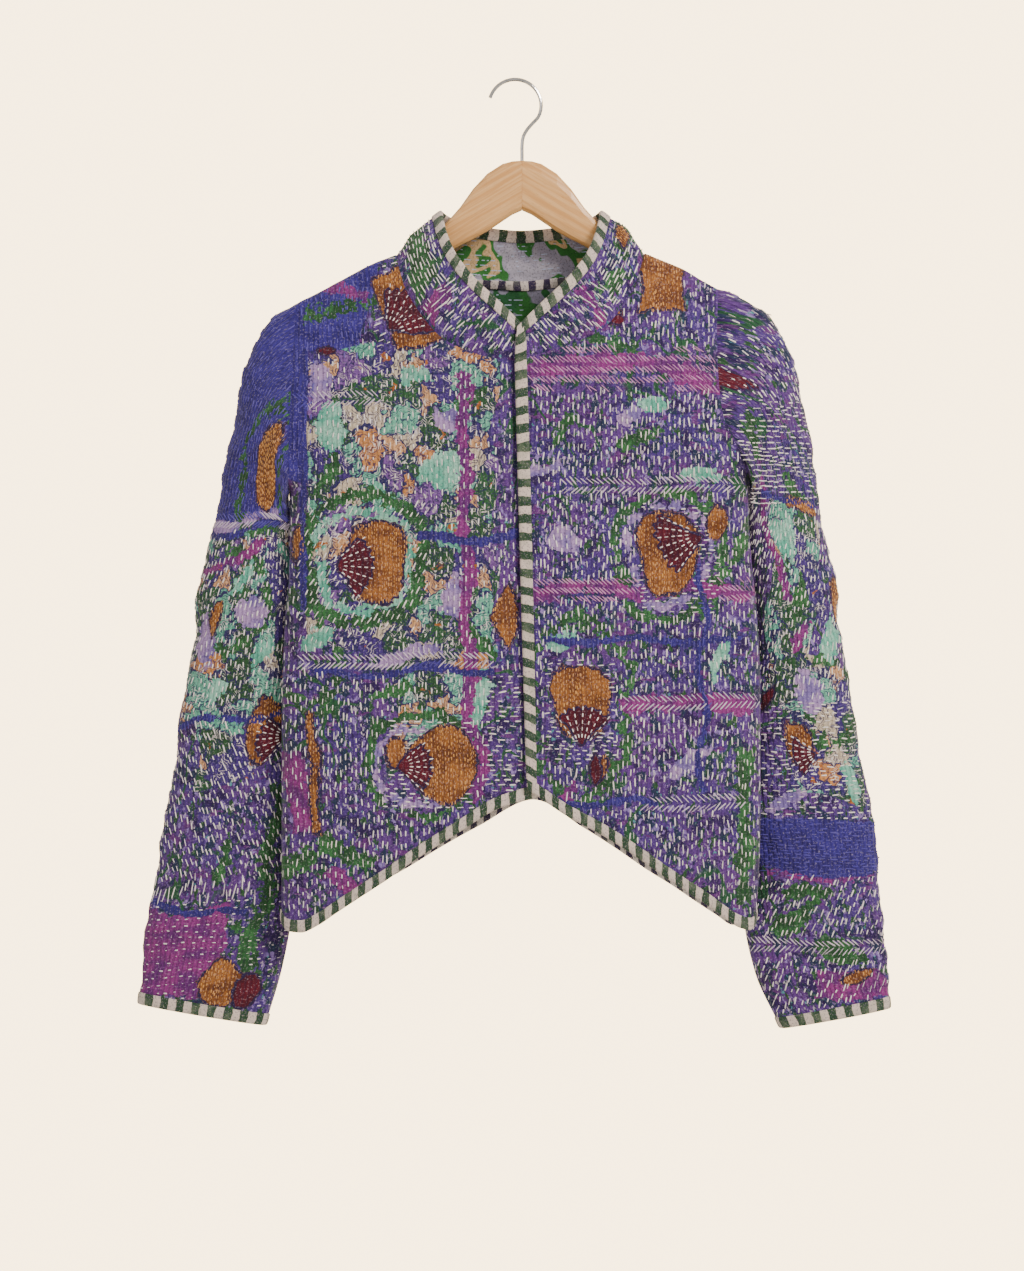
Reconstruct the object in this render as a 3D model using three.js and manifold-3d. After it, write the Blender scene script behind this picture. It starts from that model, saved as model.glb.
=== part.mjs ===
// Kantha jacket, quilted cotton with bound edges, hung on a wooden hanger.
// Millimetres, +Z up, +X to the viewer's right. The front of the jacket faces -Y.
// The origin is the inside top of the hook's bend, where the hanger is held.
// Right and left are the wearer's own, so the right side lies at -X.
// Every cloth piece is a wall of even thickness: an outer skin of points worked out from the
// tables below, an inner skin moved in by the wall, and the edges that close the two.

import * as THREE from 'three';
import { mergeVertices } from 'three/addons/utils/BufferGeometryUtils.js';
import Module from 'manifold-3d';

// Cloth
const WALL = 1.8;
const SEAM_SETBACK = 0.22;
const TAPE_WALL = 1.0;
const TAPE_GAP = 0.35;
const BINDING_WIDTH = 10;
const BINDING_SNAP = 2;
const NECK_TAPE_WIDTH = 9;
const NECK_TAPE_ROW = -5;
const BINDING_START = BINDING_WIDTH + 1;
// Sides of a binding's section whose faces are split like the panel's: over its first row or its last
const RIM_IS_FIRST_ROW = [0, 1, 4, 5];
const RIM_IS_LAST_ROW = [1, 2, 5, 6];

// Body: a flat oval hung from the shoulders, deeper in front than at the side folds
const OVAL_POWER = 2.6;
const FRONT_DEPTH = 44;
const BACK_DEPTH = 38;
const SIDE_FOLD_FORWARD = 12;
const ARMHOLE_FRONT = 26;
const ARMHOLE_BACK = 34;
const ARMHOLE_POWER = 2.4;
const ARMHOLE_FLAT = 0.28;
const ARMHOLE_FLAT_REACH = 0.4;
const RIDGE_RADIUS = 10;
const RIDGE_REACH = 165;
const RIDGE_EASE = 2.2;
const COLLAR_SLOPE = 0.45;
const FACE_SIGN = { front: -1, back: 1 };
const SIDE_HEM_Z = -770;
const BACK_HEM_REACH = 204;
const LEFT_BACK_NECK_EASE = 0.955;
// Start and number of passes for the foot of a column, the step that slopes are measured over,
// how near the armhole counts as on it, and halvings of the neck seam
const HEM_START = { x: 0, z: -700 };
const HEM_PASSES = 6;
const SLOPE_STEP = 0.05;
const SEAM_TOLERANCE = 0.01;
const HALVINGS = 40;

// Front opening: the left front laps over the right one
const MIDDLE_TOP = { x: 3.7, z: -243 };
const MIDDLE_BOTTOM = { x: 14.7, z: -650 };
const OVER_LAP = 5;
const UNDER_LAP = 4;
const LAP_STEP = 5.6;
const LAP_STEP_START = 27;
const LAP_STEP_LENGTH = 16;
const LAP_COLUMNS = [30, BINDING_WIDTH];

// One row for each height: the body's half width at the side seam, then at the armhole
const RIGHT = {
  name: 'right', sign: -1, armpit: -380, shoulderEnd: -203, neckPoint: { x: 111.3, z: -159 },
  width: [
    { z: -770, x: 217 }, { z: -610, x: 217 }, { z: -545, x: 216 }, { z: -498, x: 214 },
    { z: -448, x: 210 }, { z: -380, x: 209 }, { z: -330, x: 208 }, { z: -275, x: 206 },
    { z: -203, x: 202.5 },
  ],
  ridge: [{ x: 111.3, z: -159 }, { x: 131, z: -166.5 }, { x: 172, z: -187.5 }, { x: 202.5, z: -203 }],
  neck: [
    { t: 0, x: 111.3, z: -159 }, { t: 0.15, x: 105.8, z: -182.6 }, { t: 0.31, x: 93.8, z: -207.5 },
    { t: 0.48, x: 77.3, z: -229.5 }, { t: 0.64, x: 57, z: -247 }, { t: 0.78, x: 35.9, z: -256 },
    { t: 1, x: -7.7, z: -261 },
  ],
  hem: [
    { x: -19, z: -655 }, { x: 8, z: -662 }, { x: 23, z: -668 }, { x: 56, z: -689 }, { x: 88, z: -709 },
    { x: 121, z: -732 }, { x: 155, z: -754 }, { x: 187, z: -775 }, { x: 198, z: -779 },
    { x: 210, z: -778 }, { x: 217, z: -770 },
  ],
};
const LEFT = {
  name: 'left', sign: 1, armpit: -367, shoulderEnd: -190, neckPoint: { x: 117.3, z: -158 },
  width: [
    { z: -770, x: 220 }, { z: -712, x: 223.6 }, { z: -678, x: 224.5 }, { z: -566, x: 224.5 },
    { z: -476, x: 220 }, { z: -416, x: 214 }, { z: -367, x: 213 }, { z: -339, x: 201 },
    { z: -311, x: 188 }, { z: -275, x: 184 }, { z: -238, x: 183 }, { z: -190, x: 185 },
  ],
  ridge: [{ x: 117.3, z: -158 }, { x: 147, z: -169 }, { x: 166, z: -179.5 }, { x: 185, z: -190 }],
  neck: [
    { t: 0, x: 117.3, z: -158 }, { t: 0.14, x: 111, z: -180 }, { t: 0.27, x: 102, z: -199 },
    { t: 0.42, x: 92, z: -216 }, { t: 0.55, x: 79, z: -230 }, { t: 0.68, x: 61, z: -240.5 },
    { t: 0.8, x: 42, z: -247.5 }, { t: 0.91, x: 20, z: -254 }, { t: 1, x: -1.3, z: -261 },
  ],
  hem: [
    { x: 9, z: -648 }, { x: 15.6, z: -652 }, { x: 37, z: -667 }, { x: 90, z: -697 }, { x: 142, z: -733 },
    { x: 178, z: -757 }, { x: 202, z: -774 }, { x: 213, z: -777 }, { x: 220, z: -770 },
  ],
};

// Back hem, the same on both sides, by the distance out from the middle
const BACK_HEM = [
  { out: 0, z: -661 }, { out: 22, z: -674 }, { out: 58, z: -693 }, { out: 93, z: -718 },
  { out: 128, z: -740 }, { out: 163, z: -763 }, { out: 190, z: -777 }, { out: 204, z: -770 },
];
// Back neck: share of the half neck width, and drop below the neck point
const BACK_NECK = [
  { t: 0, out: 1, drop: 0 }, { t: 0.12, out: 0.94, drop: 7 }, { t: 0.3, out: 0.77, drop: 14 },
  { t: 0.6, out: 0.42, drop: 20 }, { t: 1, out: 0, drop: 21.5 },
];
// Collar's free edge over each point of the front and back neck seams
const COLLAR_TOP_FRONT = [
  { t: 0, x: 74, y: 0, z: -120 }, { t: 0.15, x: 71, y: -15, z: -135 }, { t: 0.31, x: 65, y: -26, z: -153 },
  { t: 0.48, x: 54, y: -34, z: -172 }, { t: 0.64, x: 42, y: -38, z: -186 }, { t: 0.78, x: 25, y: -41, z: -202 },
  { t: 1, x: -4, y: -43.5, z: -231 },
];
const COLLAR_TOP_BACK = [
  { t: 0, x: 74, y: 0, z: -120 }, { t: 0.12, x: 71, y: 8, z: -122 }, { t: 0.3, x: 60, y: 17, z: -127 },
  { t: 0.6, x: 33, y: 25, z: -133 }, { t: 1, x: 0, y: 27, z: -135.5 },
];
const COLLAR_MIDDLE_ROW = 0.36;
const COLLAR_END_SHARE = 0.93;
const COLLAR_BULGE = 2.5;

// Sleeves, from the armhole to the cuff: the outer and inner edges seen from the front
// (out is the distance from the middle plane x = 0), the middle depth and half the depth
const SLEEVE_RIGHT = [
  { t: 0, outX: 202.5, outZ: -203, inX: 209, inZ: -380, y: 0, depth: 28 },
  { t: 0.06, outX: 226, outZ: -217, inX: 211, inZ: -390, y: 4, depth: 31 },
  { t: 0.12, outX: 244, outZ: -245, inX: 210, inZ: -401, y: 9, depth: 33 },
  { t: 0.19, outX: 255, outZ: -284, inX: 207, inZ: -416, y: 13, depth: 34 },
  { t: 0.26, outX: 264, outZ: -325, inX: 204, inZ: -434, y: 17, depth: 34 },
  { t: 0.33, outX: 274, outZ: -372, inX: 201, inZ: -458, y: 20, depth: 33 },
  { t: 0.41, outX: 285, outZ: -425, inX: 199, inZ: -494, y: 21, depth: 32 },
  { t: 0.48, outX: 295, outZ: -474, inX: 198, inZ: -531, y: 22, depth: 31 },
  { t: 0.56, outX: 303, outZ: -531, inX: 197, inZ: -580, y: 22, depth: 30 },
  { t: 0.64, outX: 311, outZ: -585, inX: 197, inZ: -628, y: 22, depth: 28 },
  { t: 0.72, outX: 319, outZ: -640, inX: 199, inZ: -679, y: 21, depth: 26 },
  { t: 0.79, outX: 329, outZ: -695, inX: 202, inZ: -729, y: 20, depth: 23 },
  { t: 0.86, outX: 337, outZ: -748, inX: 208, inZ: -777, y: 19, depth: 20 },
  { t: 0.93, outX: 345, outZ: -796, inX: 216, inZ: -818, y: 18, depth: 17 },
  { t: 1, outX: 350, outZ: -849, inX: 231, inZ: -869, y: 18, depth: 14 },
];
const SLEEVE_LEFT = [
  { t: 0, outX: 185, outZ: -190, inX: 213, inZ: -367, y: 0, depth: 28 },
  { t: 0.06, outX: 213, outZ: -204, inX: 220, inZ: -379, y: 0, depth: 30 },
  { t: 0.12, outX: 238, outZ: -223, inX: 217, inZ: -392, y: 7.5, depth: 32.5 },
  { t: 0.19, outX: 255, outZ: -257, inX: 213, inZ: -408, y: 13, depth: 33.5 },
  { t: 0.26, outX: 266, outZ: -304, inX: 209, inZ: -428, y: 16, depth: 33 },
  { t: 0.33, outX: 275, outZ: -352, inX: 206, inZ: -455, y: 19, depth: 33 },
  { t: 0.41, outX: 284, outZ: -405, inX: 205, inZ: -488, y: 20, depth: 32 },
  { t: 0.48, outX: 293, outZ: -460, inX: 205, inZ: -525, y: 21, depth: 31 },
  { t: 0.56, outX: 302, outZ: -518, inX: 205, inZ: -572, y: 22, depth: 30 },
  { t: 0.64, outX: 311, outZ: -575, inX: 204, inZ: -622, y: 22, depth: 28 },
  { t: 0.72, outX: 321, outZ: -634, inX: 204, inZ: -673, y: 21, depth: 26 },
  { t: 0.79, outX: 331, outZ: -692, inX: 205, inZ: -724, y: 20, depth: 23 },
  { t: 0.86, outX: 336, outZ: -748, inX: 209, inZ: -776, y: 19, depth: 20 },
  { t: 0.93, outX: 342, outZ: -802, inX: 219, inZ: -822, y: 18, depth: 17 },
  { t: 1, outX: 345, outZ: -853, inX: 242, inZ: -872, y: 18, depth: 14 },
];
const SLEEVE_BLEND = 0.3;
const SLEEVE_CLEARANCE = 2.8;
const ARMPIT_TURN = 0.4;

// Largest folds: centre, lean sideways for each millimetre down, half width, half length, height
const BODY_FOLDS = [
  { face: 'front', x: -168, z: -560, lean: 0.1, width: 26, length: 190, height: 4 },
  { face: 'front', x: -92, z: -610, lean: 0.06, width: 30, length: 150, height: -3.5 },
  { face: 'front', x: -40, z: -420, lean: -0.05, width: 28, length: 140, height: 3 },
  { face: 'front', x: 64, z: -560, lean: -0.08, width: 27, length: 170, height: 3.5 },
  { face: 'front', x: 122, z: -470, lean: 0.16, width: 26, length: 160, height: -4 },
  { face: 'front', x: 176, z: -600, lean: 0.05, width: 24, length: 170, height: 4 },
  { face: 'back', x: -150, z: -540, lean: 0.08, width: 30, length: 200, height: 4.5 },
  { face: 'back', x: -70, z: -480, lean: 0.02, width: 32, length: 190, height: -3.5 },
  { face: 'back', x: 20, z: -560, lean: -0.04, width: 30, length: 180, height: 4 },
  { face: 'back', x: 95, z: -470, lean: -0.06, width: 30, length: 180, height: -3.5 },
  { face: 'back', x: 165, z: -560, lean: -0.05, width: 28, length: 190, height: 4.5 },
];
// Sleeve creases: place along and around, half spread of each, height
const SLEEVE_FOLDS = [
  { t: 0.3, turn: 1.1, along: 0.06, around: 0.5, height: -3 },
  { t: 0.44, turn: 1.9, along: 0.05, around: 0.7, height: 3 },
  { t: 0.57, turn: 1.2, along: 0.05, around: 0.6, height: -3 },
  { t: 0.5, turn: 4.4, along: 0.06, around: 0.7, height: 3 },
  { t: 0.68, turn: 4.9, along: 0.06, around: 0.6, height: -3 },
  { t: 0.8, turn: 1.7, along: 0.06, around: 0.5, height: 2.5 },
];

// Rows of the body panels: distances below the shoulder line, then even steps to the hem
const ROWS_ABOVE_ARMPIT = [177, 167, 145, 110, 76, 46, 26, 13, 6, 2, 0];
const ROWS_BELOW_ARMPIT = 11;
const SHOULDER_COLUMNS = 4;
const FRONT_NECK_COLUMNS = 5;
const BACK_NECK_COLUMNS = 5;
const COLUMN_BUNCH = 0.7;
const NECK_BUNCH = { front: 1.7, back: 1.5 };
const ARMPIT_TURN_SHARE = 0.8;
const COLUMN_TOP_PULL = 2.5;

// Hanger: one row for each place along an arm, out from the shaft
const SHAFT_X = 4.6;
const HANGER_ARM = [
  { out: 0.15, top: -73, bottom: -119, half: 7 }, { out: 9, top: -73.6, bottom: -123, half: 7 },
  { out: 18, top: -76, bottom: -129, half: 7 }, { out: 32, top: -85, bottom: -138.5, half: 7 },
  { out: 45, top: -99, bottom: -145.5, half: 7 }, { out: 57, top: -116, bottom: -151.5, half: 7 },
  { out: 68, top: -128.5, bottom: -157.5, half: 6.8 }, { out: 84, top: -143, bottom: -166, half: 6.5 },
  { out: 98, top: -155.5, bottom: -173, half: 5.8 }, { out: 112, top: -164.5, bottom: -181, half: 5.5 },
  { out: 125, top: -167.5, bottom: -187, half: 6 }, { out: 140, top: -171.9, bottom: -193, half: 6 },
  { out: 155, top: -179.2, bottom: -200, half: 6 }, { out: 170, top: -187.3, bottom: -207, half: 6 },
  { out: 186, top: -196.2, bottom: -214, half: 5.6 }, { out: 193, top: -202.5, bottom: -214.5, half: 4.4 },
  { out: 196.5, top: -206, bottom: -212.5, half: 2.2 },
];
const ARM_SIDES = 14;
const ARM_POWER = 3.2;

// Hook: a bent wire, its bend an arc about a centre below the origin
const WIRE = 3.4;
const BEND_RADIUS = 24;
const BEND_CENTRE = { x: -1.8, z: -22.3 };
const BEND_START = 163;
const BEND_END = -12;
const BEND_STEPS = 14;
const HOOK_NECK = [
  { x: 19.6, z: -33 }, { x: 13.6, z: -39.5 }, { x: 8.6, z: -45.5 }, { x: 5.5, z: -52 },
  { x: SHAFT_X, z: -60 }, { x: SHAFT_X, z: -68 },
];
const HOOK_STEPS = 40;
const SHAFT_END = -94;
const SHAFT_HOLE_RADIUS = 2.1;
const WIRE_SIDES = 10;
const DRILL_START = 1;
const DRILL_DEPTH = 22.3;
const DRILL_SIDES = 16;

// Finishes
const MATERIALS = {
  cloth: new THREE.MeshStandardMaterial({ color: 0x5b4a9c, roughness: 0.85, metalness: 0 }),
  binding: new THREE.MeshStandardMaterial({ color: 0x2f5a3c, roughness: 0.85, metalness: 0 }),
  wood: new THREE.MeshStandardMaterial({ color: 0xd9a468, roughness: 0.45, metalness: 0 }),
  metal: new THREE.MeshStandardMaterial({ color: 0xc9ccd0, roughness: 0.2, metalness: 1 }),
};

const clamp = (value, low, high) => Math.min(high, Math.max(low, value));
const mix = (a, b, t) => a + (b - a) * t;
const smooth = (t) => { const c = clamp(t, 0, 1); return c * c * (3 - 2 * c); };
const bell = (value) => Math.exp(-value * value);

// A smooth curve through a table's rows that never overshoots them
function curve(rows, from, to) {
  const sorted = [...rows].sort((a, b) => a[from] - b[from]);
  const at = sorted.map((row) => row[from]);
  const value = sorted.map((row) => row[to]);
  const last = at.length - 1;
  const rise = at.slice(1).map((x, i) => (value[i + 1] - value[i]) / (x - at[i]));
  const slope = at.map((_, i) => {
    if (i === 0) return rise[0];
    if (i === last) return rise[last - 1];
    return rise[i - 1] * rise[i] <= 0 ? 0 : 2 * rise[i - 1] * rise[i] / (rise[i - 1] + rise[i]);
  });
  return (x) => {
    const place = clamp(x, at[0], at[last]);
    let i = 0;
    while (i < last - 1 && place > at[i + 1]) i += 1;
    const step = at[i + 1] - at[i];
    const t = (place - at[i]) / step;
    const bend = t * t * (3 - 2 * t);
    return mix(value[i], value[i + 1], bend)
      + step * (slope[i] * t * (1 - t) * (1 - t) - slope[i + 1] * t * t * (1 - t));
  };
}

for (const side of [RIGHT, LEFT]) {
  side.widthAt = curve(side.width, 'z', 'x');
  side.ridgeAt = curve(side.ridge, 'x', 'z');
  side.neckX = curve(side.neck, 't', 'x');
  side.neckZ = curve(side.neck, 't', 'z');
  side.hemAt = curve(side.hem, 'x', 'z');
}
const backHemAt = curve(BACK_HEM, 'out', 'z');
const backNeckOut = curve(BACK_NECK, 't', 'out');
const backNeckDrop = curve(BACK_NECK, 't', 'drop');

const middle = (z) => mix(MIDDLE_TOP.x, MIDDLE_BOTTOM.x,
  Math.max(0, (MIDDLE_TOP.z - z) / (MIDDLE_TOP.z - MIDDLE_BOTTOM.z)));

// Signed x of the side seam or armhole at a height
const edgeX = (side, z) => side.sign * side.widthAt(z);

// Height of the shoulder line over x, carried on inward under the collar
function ridgeZ(side, x) {
  const out = x * side.sign;
  const inside = side.neckPoint.x - out;
  return inside > 0 ? side.neckPoint.z + inside * COLLAR_SLOPE : side.ridgeAt(out);
}

const armholeShare = (side, z) => clamp((z - side.armpit) / (side.shoulderEnd - side.armpit), 0, 1);

// Height of the folds at a point of the body
function bodyFold(face, x, z) {
  let height = 0;
  for (const fold of BODY_FOLDS) {
    if (fold.face !== face) continue;
    const across = (x - fold.x - fold.lean * (fold.z - z)) / fold.width;
    height += fold.height * bell(across) * bell((z - fold.z) / fold.length);
  }
  return height;
}

// Depth of the body's outer skin at (x, z)
function bodyY(face, side, x, z) {
  const centre = middle(z);
  const out = clamp(Math.abs((x - centre) / (edgeX(side, z) - centre)), 0, 1);
  const share = armholeShare(side, z);
  const arch = Math.pow(Math.max(0, 1 - Math.pow(Math.abs(2 * share - 1), ARMHOLE_POWER)), 1 / ARMHOLE_POWER);
  const fold = SIDE_FOLD_FORWARD * (1 - smooth(share));
  const front = face === 'front';
  const edge = front ? fold + ARMHOLE_FRONT * arch : -fold + ARMHOLE_BACK * arch;
  const depth = front ? FRONT_DEPTH : BACK_DEPTH;
  const cut = 1 - ARMHOLE_FLAT * smooth(share / ARMHOLE_FLAT_REACH);
  const floor = Math.pow(1 - Math.pow(cut, OVAL_POWER), 1 / OVAL_POWER);
  const arc = Math.pow(1 - Math.pow(out * cut, OVAL_POWER), 1 / OVAL_POWER);
  const base = mix(edge, depth, (arc - floor) / (1 - floor));
  const drop = Math.max(0, ridgeZ(side, x) - z);
  const round = RIDGE_RADIUS * Math.sqrt(1 - Math.pow(1 - Math.min(drop / RIDGE_RADIUS, 1), 2));
  const open = 1 - Math.pow(1 - Math.min(drop / RIDGE_REACH, 1), RIDGE_EASE);
  const rise = bodyFold(face, x, z) * open * (1 - Math.pow(out, 6));
  return FACE_SIGN[face] * (round + (base - RIDGE_RADIUS) * open + rise);
}

// How far the right front steps back under the left one
function lapStep(face, side, x, z) {
  if (face !== 'front' || side !== RIGHT) return 0;
  const start = middle(z) + UNDER_LAP - LAP_STEP_START;
  return LAP_STEP * smooth((x - start) / LAP_STEP_LENGTH);
}

function bodyPoint(face, side, x, z) {
  return new THREE.Vector3(x, bodyY(face, side, x, z) + lapStep(face, side, x, z), z);
}

// Outward normal, from the slopes towards the middle and downward
function bodyNormal(face, side, x, z) {
  const here = bodyPoint(face, side, x, z);
  const inward = bodyPoint(face, side, x - side.sign * SLOPE_STEP, z);
  const down = bodyPoint(face, side, x, z - SLOPE_STEP);
  const normal = new THREE.Vector3((inward.y - here.y) * side.sign / SLOPE_STEP, 1,
    (down.y - here.y) / SLOPE_STEP);
  return normal.multiplyScalar(FACE_SIGN[face]).normalize();
}

// At the armpit the walls of body and sleeve turn in together, so the normal there points down
function seamNormal(face, side, x, z) {
  const share = armholeShare(side, z);
  const normal = bodyNormal(face, side, x, z);
  const atSeam = Math.abs(x - edgeX(side, z)) < SEAM_TOLERANCE
    && z > side.armpit - SEAM_TOLERANCE;
  if (!atSeam) return normal;
  const turn = ARMPIT_TURN_SHARE * (1 - smooth(share / ARMPIT_TURN));
  return normal.lerp(new THREE.Vector3(0, 0, -1), turn).normalize();
}

// Shares of the panel's height, from 0 at the hem to 1 at the top, that put a row on the armpit
function rowShares(side) {
  const hem = side.hemAt(side.widthAt(SIDE_HEM_Z));
  const height = side.shoulderEnd - hem;
  const below = (side.armpit - hem) / height;
  const shares = [];
  for (let i = 0; i < ROWS_BELOW_ARMPIT; i += 1) shares.push(below * i / ROWS_BELOW_ARMPIT);
  const deepest = ROWS_ABOVE_ARMPIT[0];
  for (const drop of ROWS_ABOVE_ARMPIT) shares.push(mix(below, 1, 1 - drop / deepest));
  return shares;
}

// Columns of a half panel: the place on the top edge and the share of the width at the hem
function halfColumns(face, side) {
  const columns = [];
  const front = face === 'front';
  const neckColumns = front ? FRONT_NECK_COLUMNS : BACK_NECK_COLUMNS;
  const laps = front ? [...LAP_COLUMNS, 0] : [];
  const even = SHOULDER_COLUMNS + neckColumns;
  const lapShare = front ? LAP_COLUMNS[0] / side.widthAt(SIDE_HEM_Z) : 0;
  const spread = (i) => {
    const s = i / even;
    const bunched = Math.pow(Math.cos(s * Math.PI / 2), 2 / OVAL_POWER);
    return mix(lapShare, 1, mix(1 - s, bunched, COLUMN_BUNCH));
  };
  for (let i = 0; i <= SHOULDER_COLUMNS; i += 1) {
    const x = mix(side.widthAt(side.shoulderEnd), side.neckPoint.x, i / SHOULDER_COLUMNS);
    columns.push({ x: side.sign * x, z: ridgeZ(side, side.sign * x), hem: spread(i) });
  }
  const edge = frontEdge(side, side.neckZ(1));
  for (let i = 1; i <= neckColumns; i += 1) {
    const s = Math.pow(i / neckColumns, NECK_BUNCH[face]);
    if (front) {
      const t = s * neckShareAt(side, edge + side.sign * LAP_COLUMNS[0]);
      columns.push({ x: side.sign * side.neckX(t), z: side.neckZ(t), hem: spread(SHOULDER_COLUMNS + i), t });
    } else {
      columns.push({ ...backNeck(side, s), hem: spread(SHOULDER_COLUMNS + i), t: s });
    }
  }
  columns[SHOULDER_COLUMNS].t = 0;
  for (const lap of laps.slice(1)) {
    const t = neckShareAt(side, edge + side.sign * lap);
    columns.push({ x: side.sign * side.neckX(t), z: side.neckZ(t), lap, t });
  }
  return columns;
}

function backNeck(side, t) {
  const x = mix(MIDDLE_TOP.x, side.sign * side.neckPoint.x, backNeckOut(t));
  return { x, z: side.neckPoint.z - backNeckDrop(t) * (side === LEFT ? LEFT_BACK_NECK_EASE : 1) };
}

// Signed x of the front edge at a height
const frontEdge = (side, z) => middle(z) + (side === RIGHT ? UNDER_LAP : -OVER_LAP);

// The share of the neck seam that lies over a signed x, found by halving
function neckShareAt(side, x) {
  let low = 0;
  let high = 1;
  for (let i = 0; i < HALVINGS; i += 1) {
    const t = (low + high) / 2;
    if (side.neckX(t) > x * side.sign) low = t; else high = t;
  }
  return (low + high) / 2;
}

// The x and z of each point of a half panel, from the side seam inward and the hem up
function halfOutline(face, side) {
  return halfColumns(face, side).map((column) => {
    const hemZ = (x) => (face === 'front' ? side.hemAt(x * side.sign)
      : backHemAt(Math.abs(x - MIDDLE_BOTTOM.x) * BACK_HEM_REACH
        / Math.abs(edgeX(side, SIDE_HEM_Z) - MIDDLE_BOTTOM.x)));
    let bottom = HEM_START;
    for (let i = 0; i < HEM_PASSES; i += 1) {
      const centre = middle(bottom.z);
      const x = column.lap === undefined ? mix(centre, edgeX(side, SIDE_HEM_Z), column.hem)
        : frontEdge(side, bottom.z) + side.sign * column.lap;
      bottom = { x, z: hemZ(x) };
    }
    const share = (x, z) => (x - middle(z)) / (edgeX(side, z) - middle(z));
    const low = share(bottom.x, bottom.z);
    const high = share(column.x, column.z);
    return rowShares(side).map((v) => {
      const z = mix(bottom.z, column.z, v);
      const across = mix(low, high, Math.pow(v, COLUMN_TOP_PULL));
      const x = column.lap === undefined ? mix(middle(z), edgeX(side, z), across)
        : frontEdge(side, z) + side.sign * column.lap;
      return { x, z };
    });
  });
}

// A half panel as columns of outer points and their normals
function halfPanel(face, side) {
  return halfOutline(face, side).map((column) => column.map(({ x, z }) => ({
    point: bodyPoint(face, side, x, z), normal: seamNormal(face, side, x, z),
  })));
}

// Moves the points of a free or sewn edge back into the piece, along its skin
function setBack(edge, neighbours, distance) {
  const moved = edge.map((node, i) => {
    const before = edge[Math.max(0, i - 1)].point;
    const after = edge[Math.min(edge.length - 1, i + 1)].point;
    const along = after.clone().sub(before);
    const inward = along.cross(node.normal).normalize();
    const towards = neighbours[i].point.clone().sub(node.point);
    if (inward.dot(towards) < 0) inward.negate();
    return node.point.clone().addScaledVector(inward, distance);
  });
  edge.forEach((node, i) => node.point.copy(moved[i]));
}

const cloneGrid = (grid) => grid.map((column) => column.map((node) => ({
  point: node.point.clone(), normal: node.normal.clone(),
})));

const innerPoint = (node, wall = WALL) => node.point.clone().addScaledVector(node.normal, -wall);

// A closed mesh from points and faces, turned so that its faces point out
function solid(points, faces) {
  let volume = 0;
  for (const [a, b, c] of faces) {
    volume += points[a].dot(points[b].clone().cross(points[c]));
  }
  const geometry = new THREE.BufferGeometry();
  geometry.setAttribute('position', new THREE.Float32BufferAttribute(points.flatMap((p) => p.toArray()), 3));
  geometry.setIndex(faces.flatMap(([a, b, c]) => (volume < 0 ? [a, c, b] : [a, b, c])));
  geometry.computeVertexNormals();
  return geometry;
}

// A wall over a grid of nodes, open all round or closed into a tube across its columns
function wallSolid(grid, tube = false) {
  const columns = grid.length;
  const rows = grid[0].length;
  const points = [];
  for (const column of grid) for (const node of column) points.push(node.point);
  for (const column of grid) for (const node of column) points.push(innerPoint(node));
  const outer = (i, j) => (i % columns) * rows + j;
  const inner = (i, j) => columns * rows + outer(i, j);
  const faces = [];
  const quad = (a, b, c, d) => faces.push([a, b, c], [a, c, d]);
  const spans = tube ? columns : columns - 1;
  for (let i = 0; i < spans; i += 1) {
    for (let j = 0; j < rows - 1; j += 1) {
      quad(outer(i, j), outer(i + 1, j), outer(i + 1, j + 1), outer(i, j + 1));
      quad(inner(i, j), inner(i, j + 1), inner(i + 1, j + 1), inner(i + 1, j));
    }
    quad(outer(i, 0), inner(i, 0), inner(i + 1, 0), outer(i + 1, 0));
    quad(outer(i, rows - 1), outer(i + 1, rows - 1), inner(i + 1, rows - 1), inner(i, rows - 1));
  }
  if (!tube) {
    for (let j = 0; j < rows - 1; j += 1) {
      const k = columns - 1;
      quad(outer(0, j), outer(0, j + 1), inner(0, j + 1), inner(0, j));
      quad(outer(k, j), inner(k, j), inner(k, j + 1), outer(k, j + 1));
    }
  }
  return solid(points, faces);
}

// The skin of a bar whose section is given at each station. A side in the list turned has its
// four-cornered faces split along their other diagonal.
function barSolid(sections, round = false, turned = []) {
  const sides = sections[0].length;
  const points = sections.flat();
  const faces = [];
  const spans = round ? sections.length : sections.length - 1;
  for (let i = 0; i < spans; i += 1) {
    const next = (i + 1) % sections.length;
    for (let j = 0; j < sides; j += 1) {
      const k = (j + 1) % sides;
      const [a, b, c, d] = [i * sides + j, next * sides + j, next * sides + k, i * sides + k];
      if (turned.includes(j)) faces.push([a, b, d], [b, c, d]);
      else faces.push([a, b, c], [a, c, d]);
    }
  }
  return { points, faces, sides, count: sections.length };
}

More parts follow.
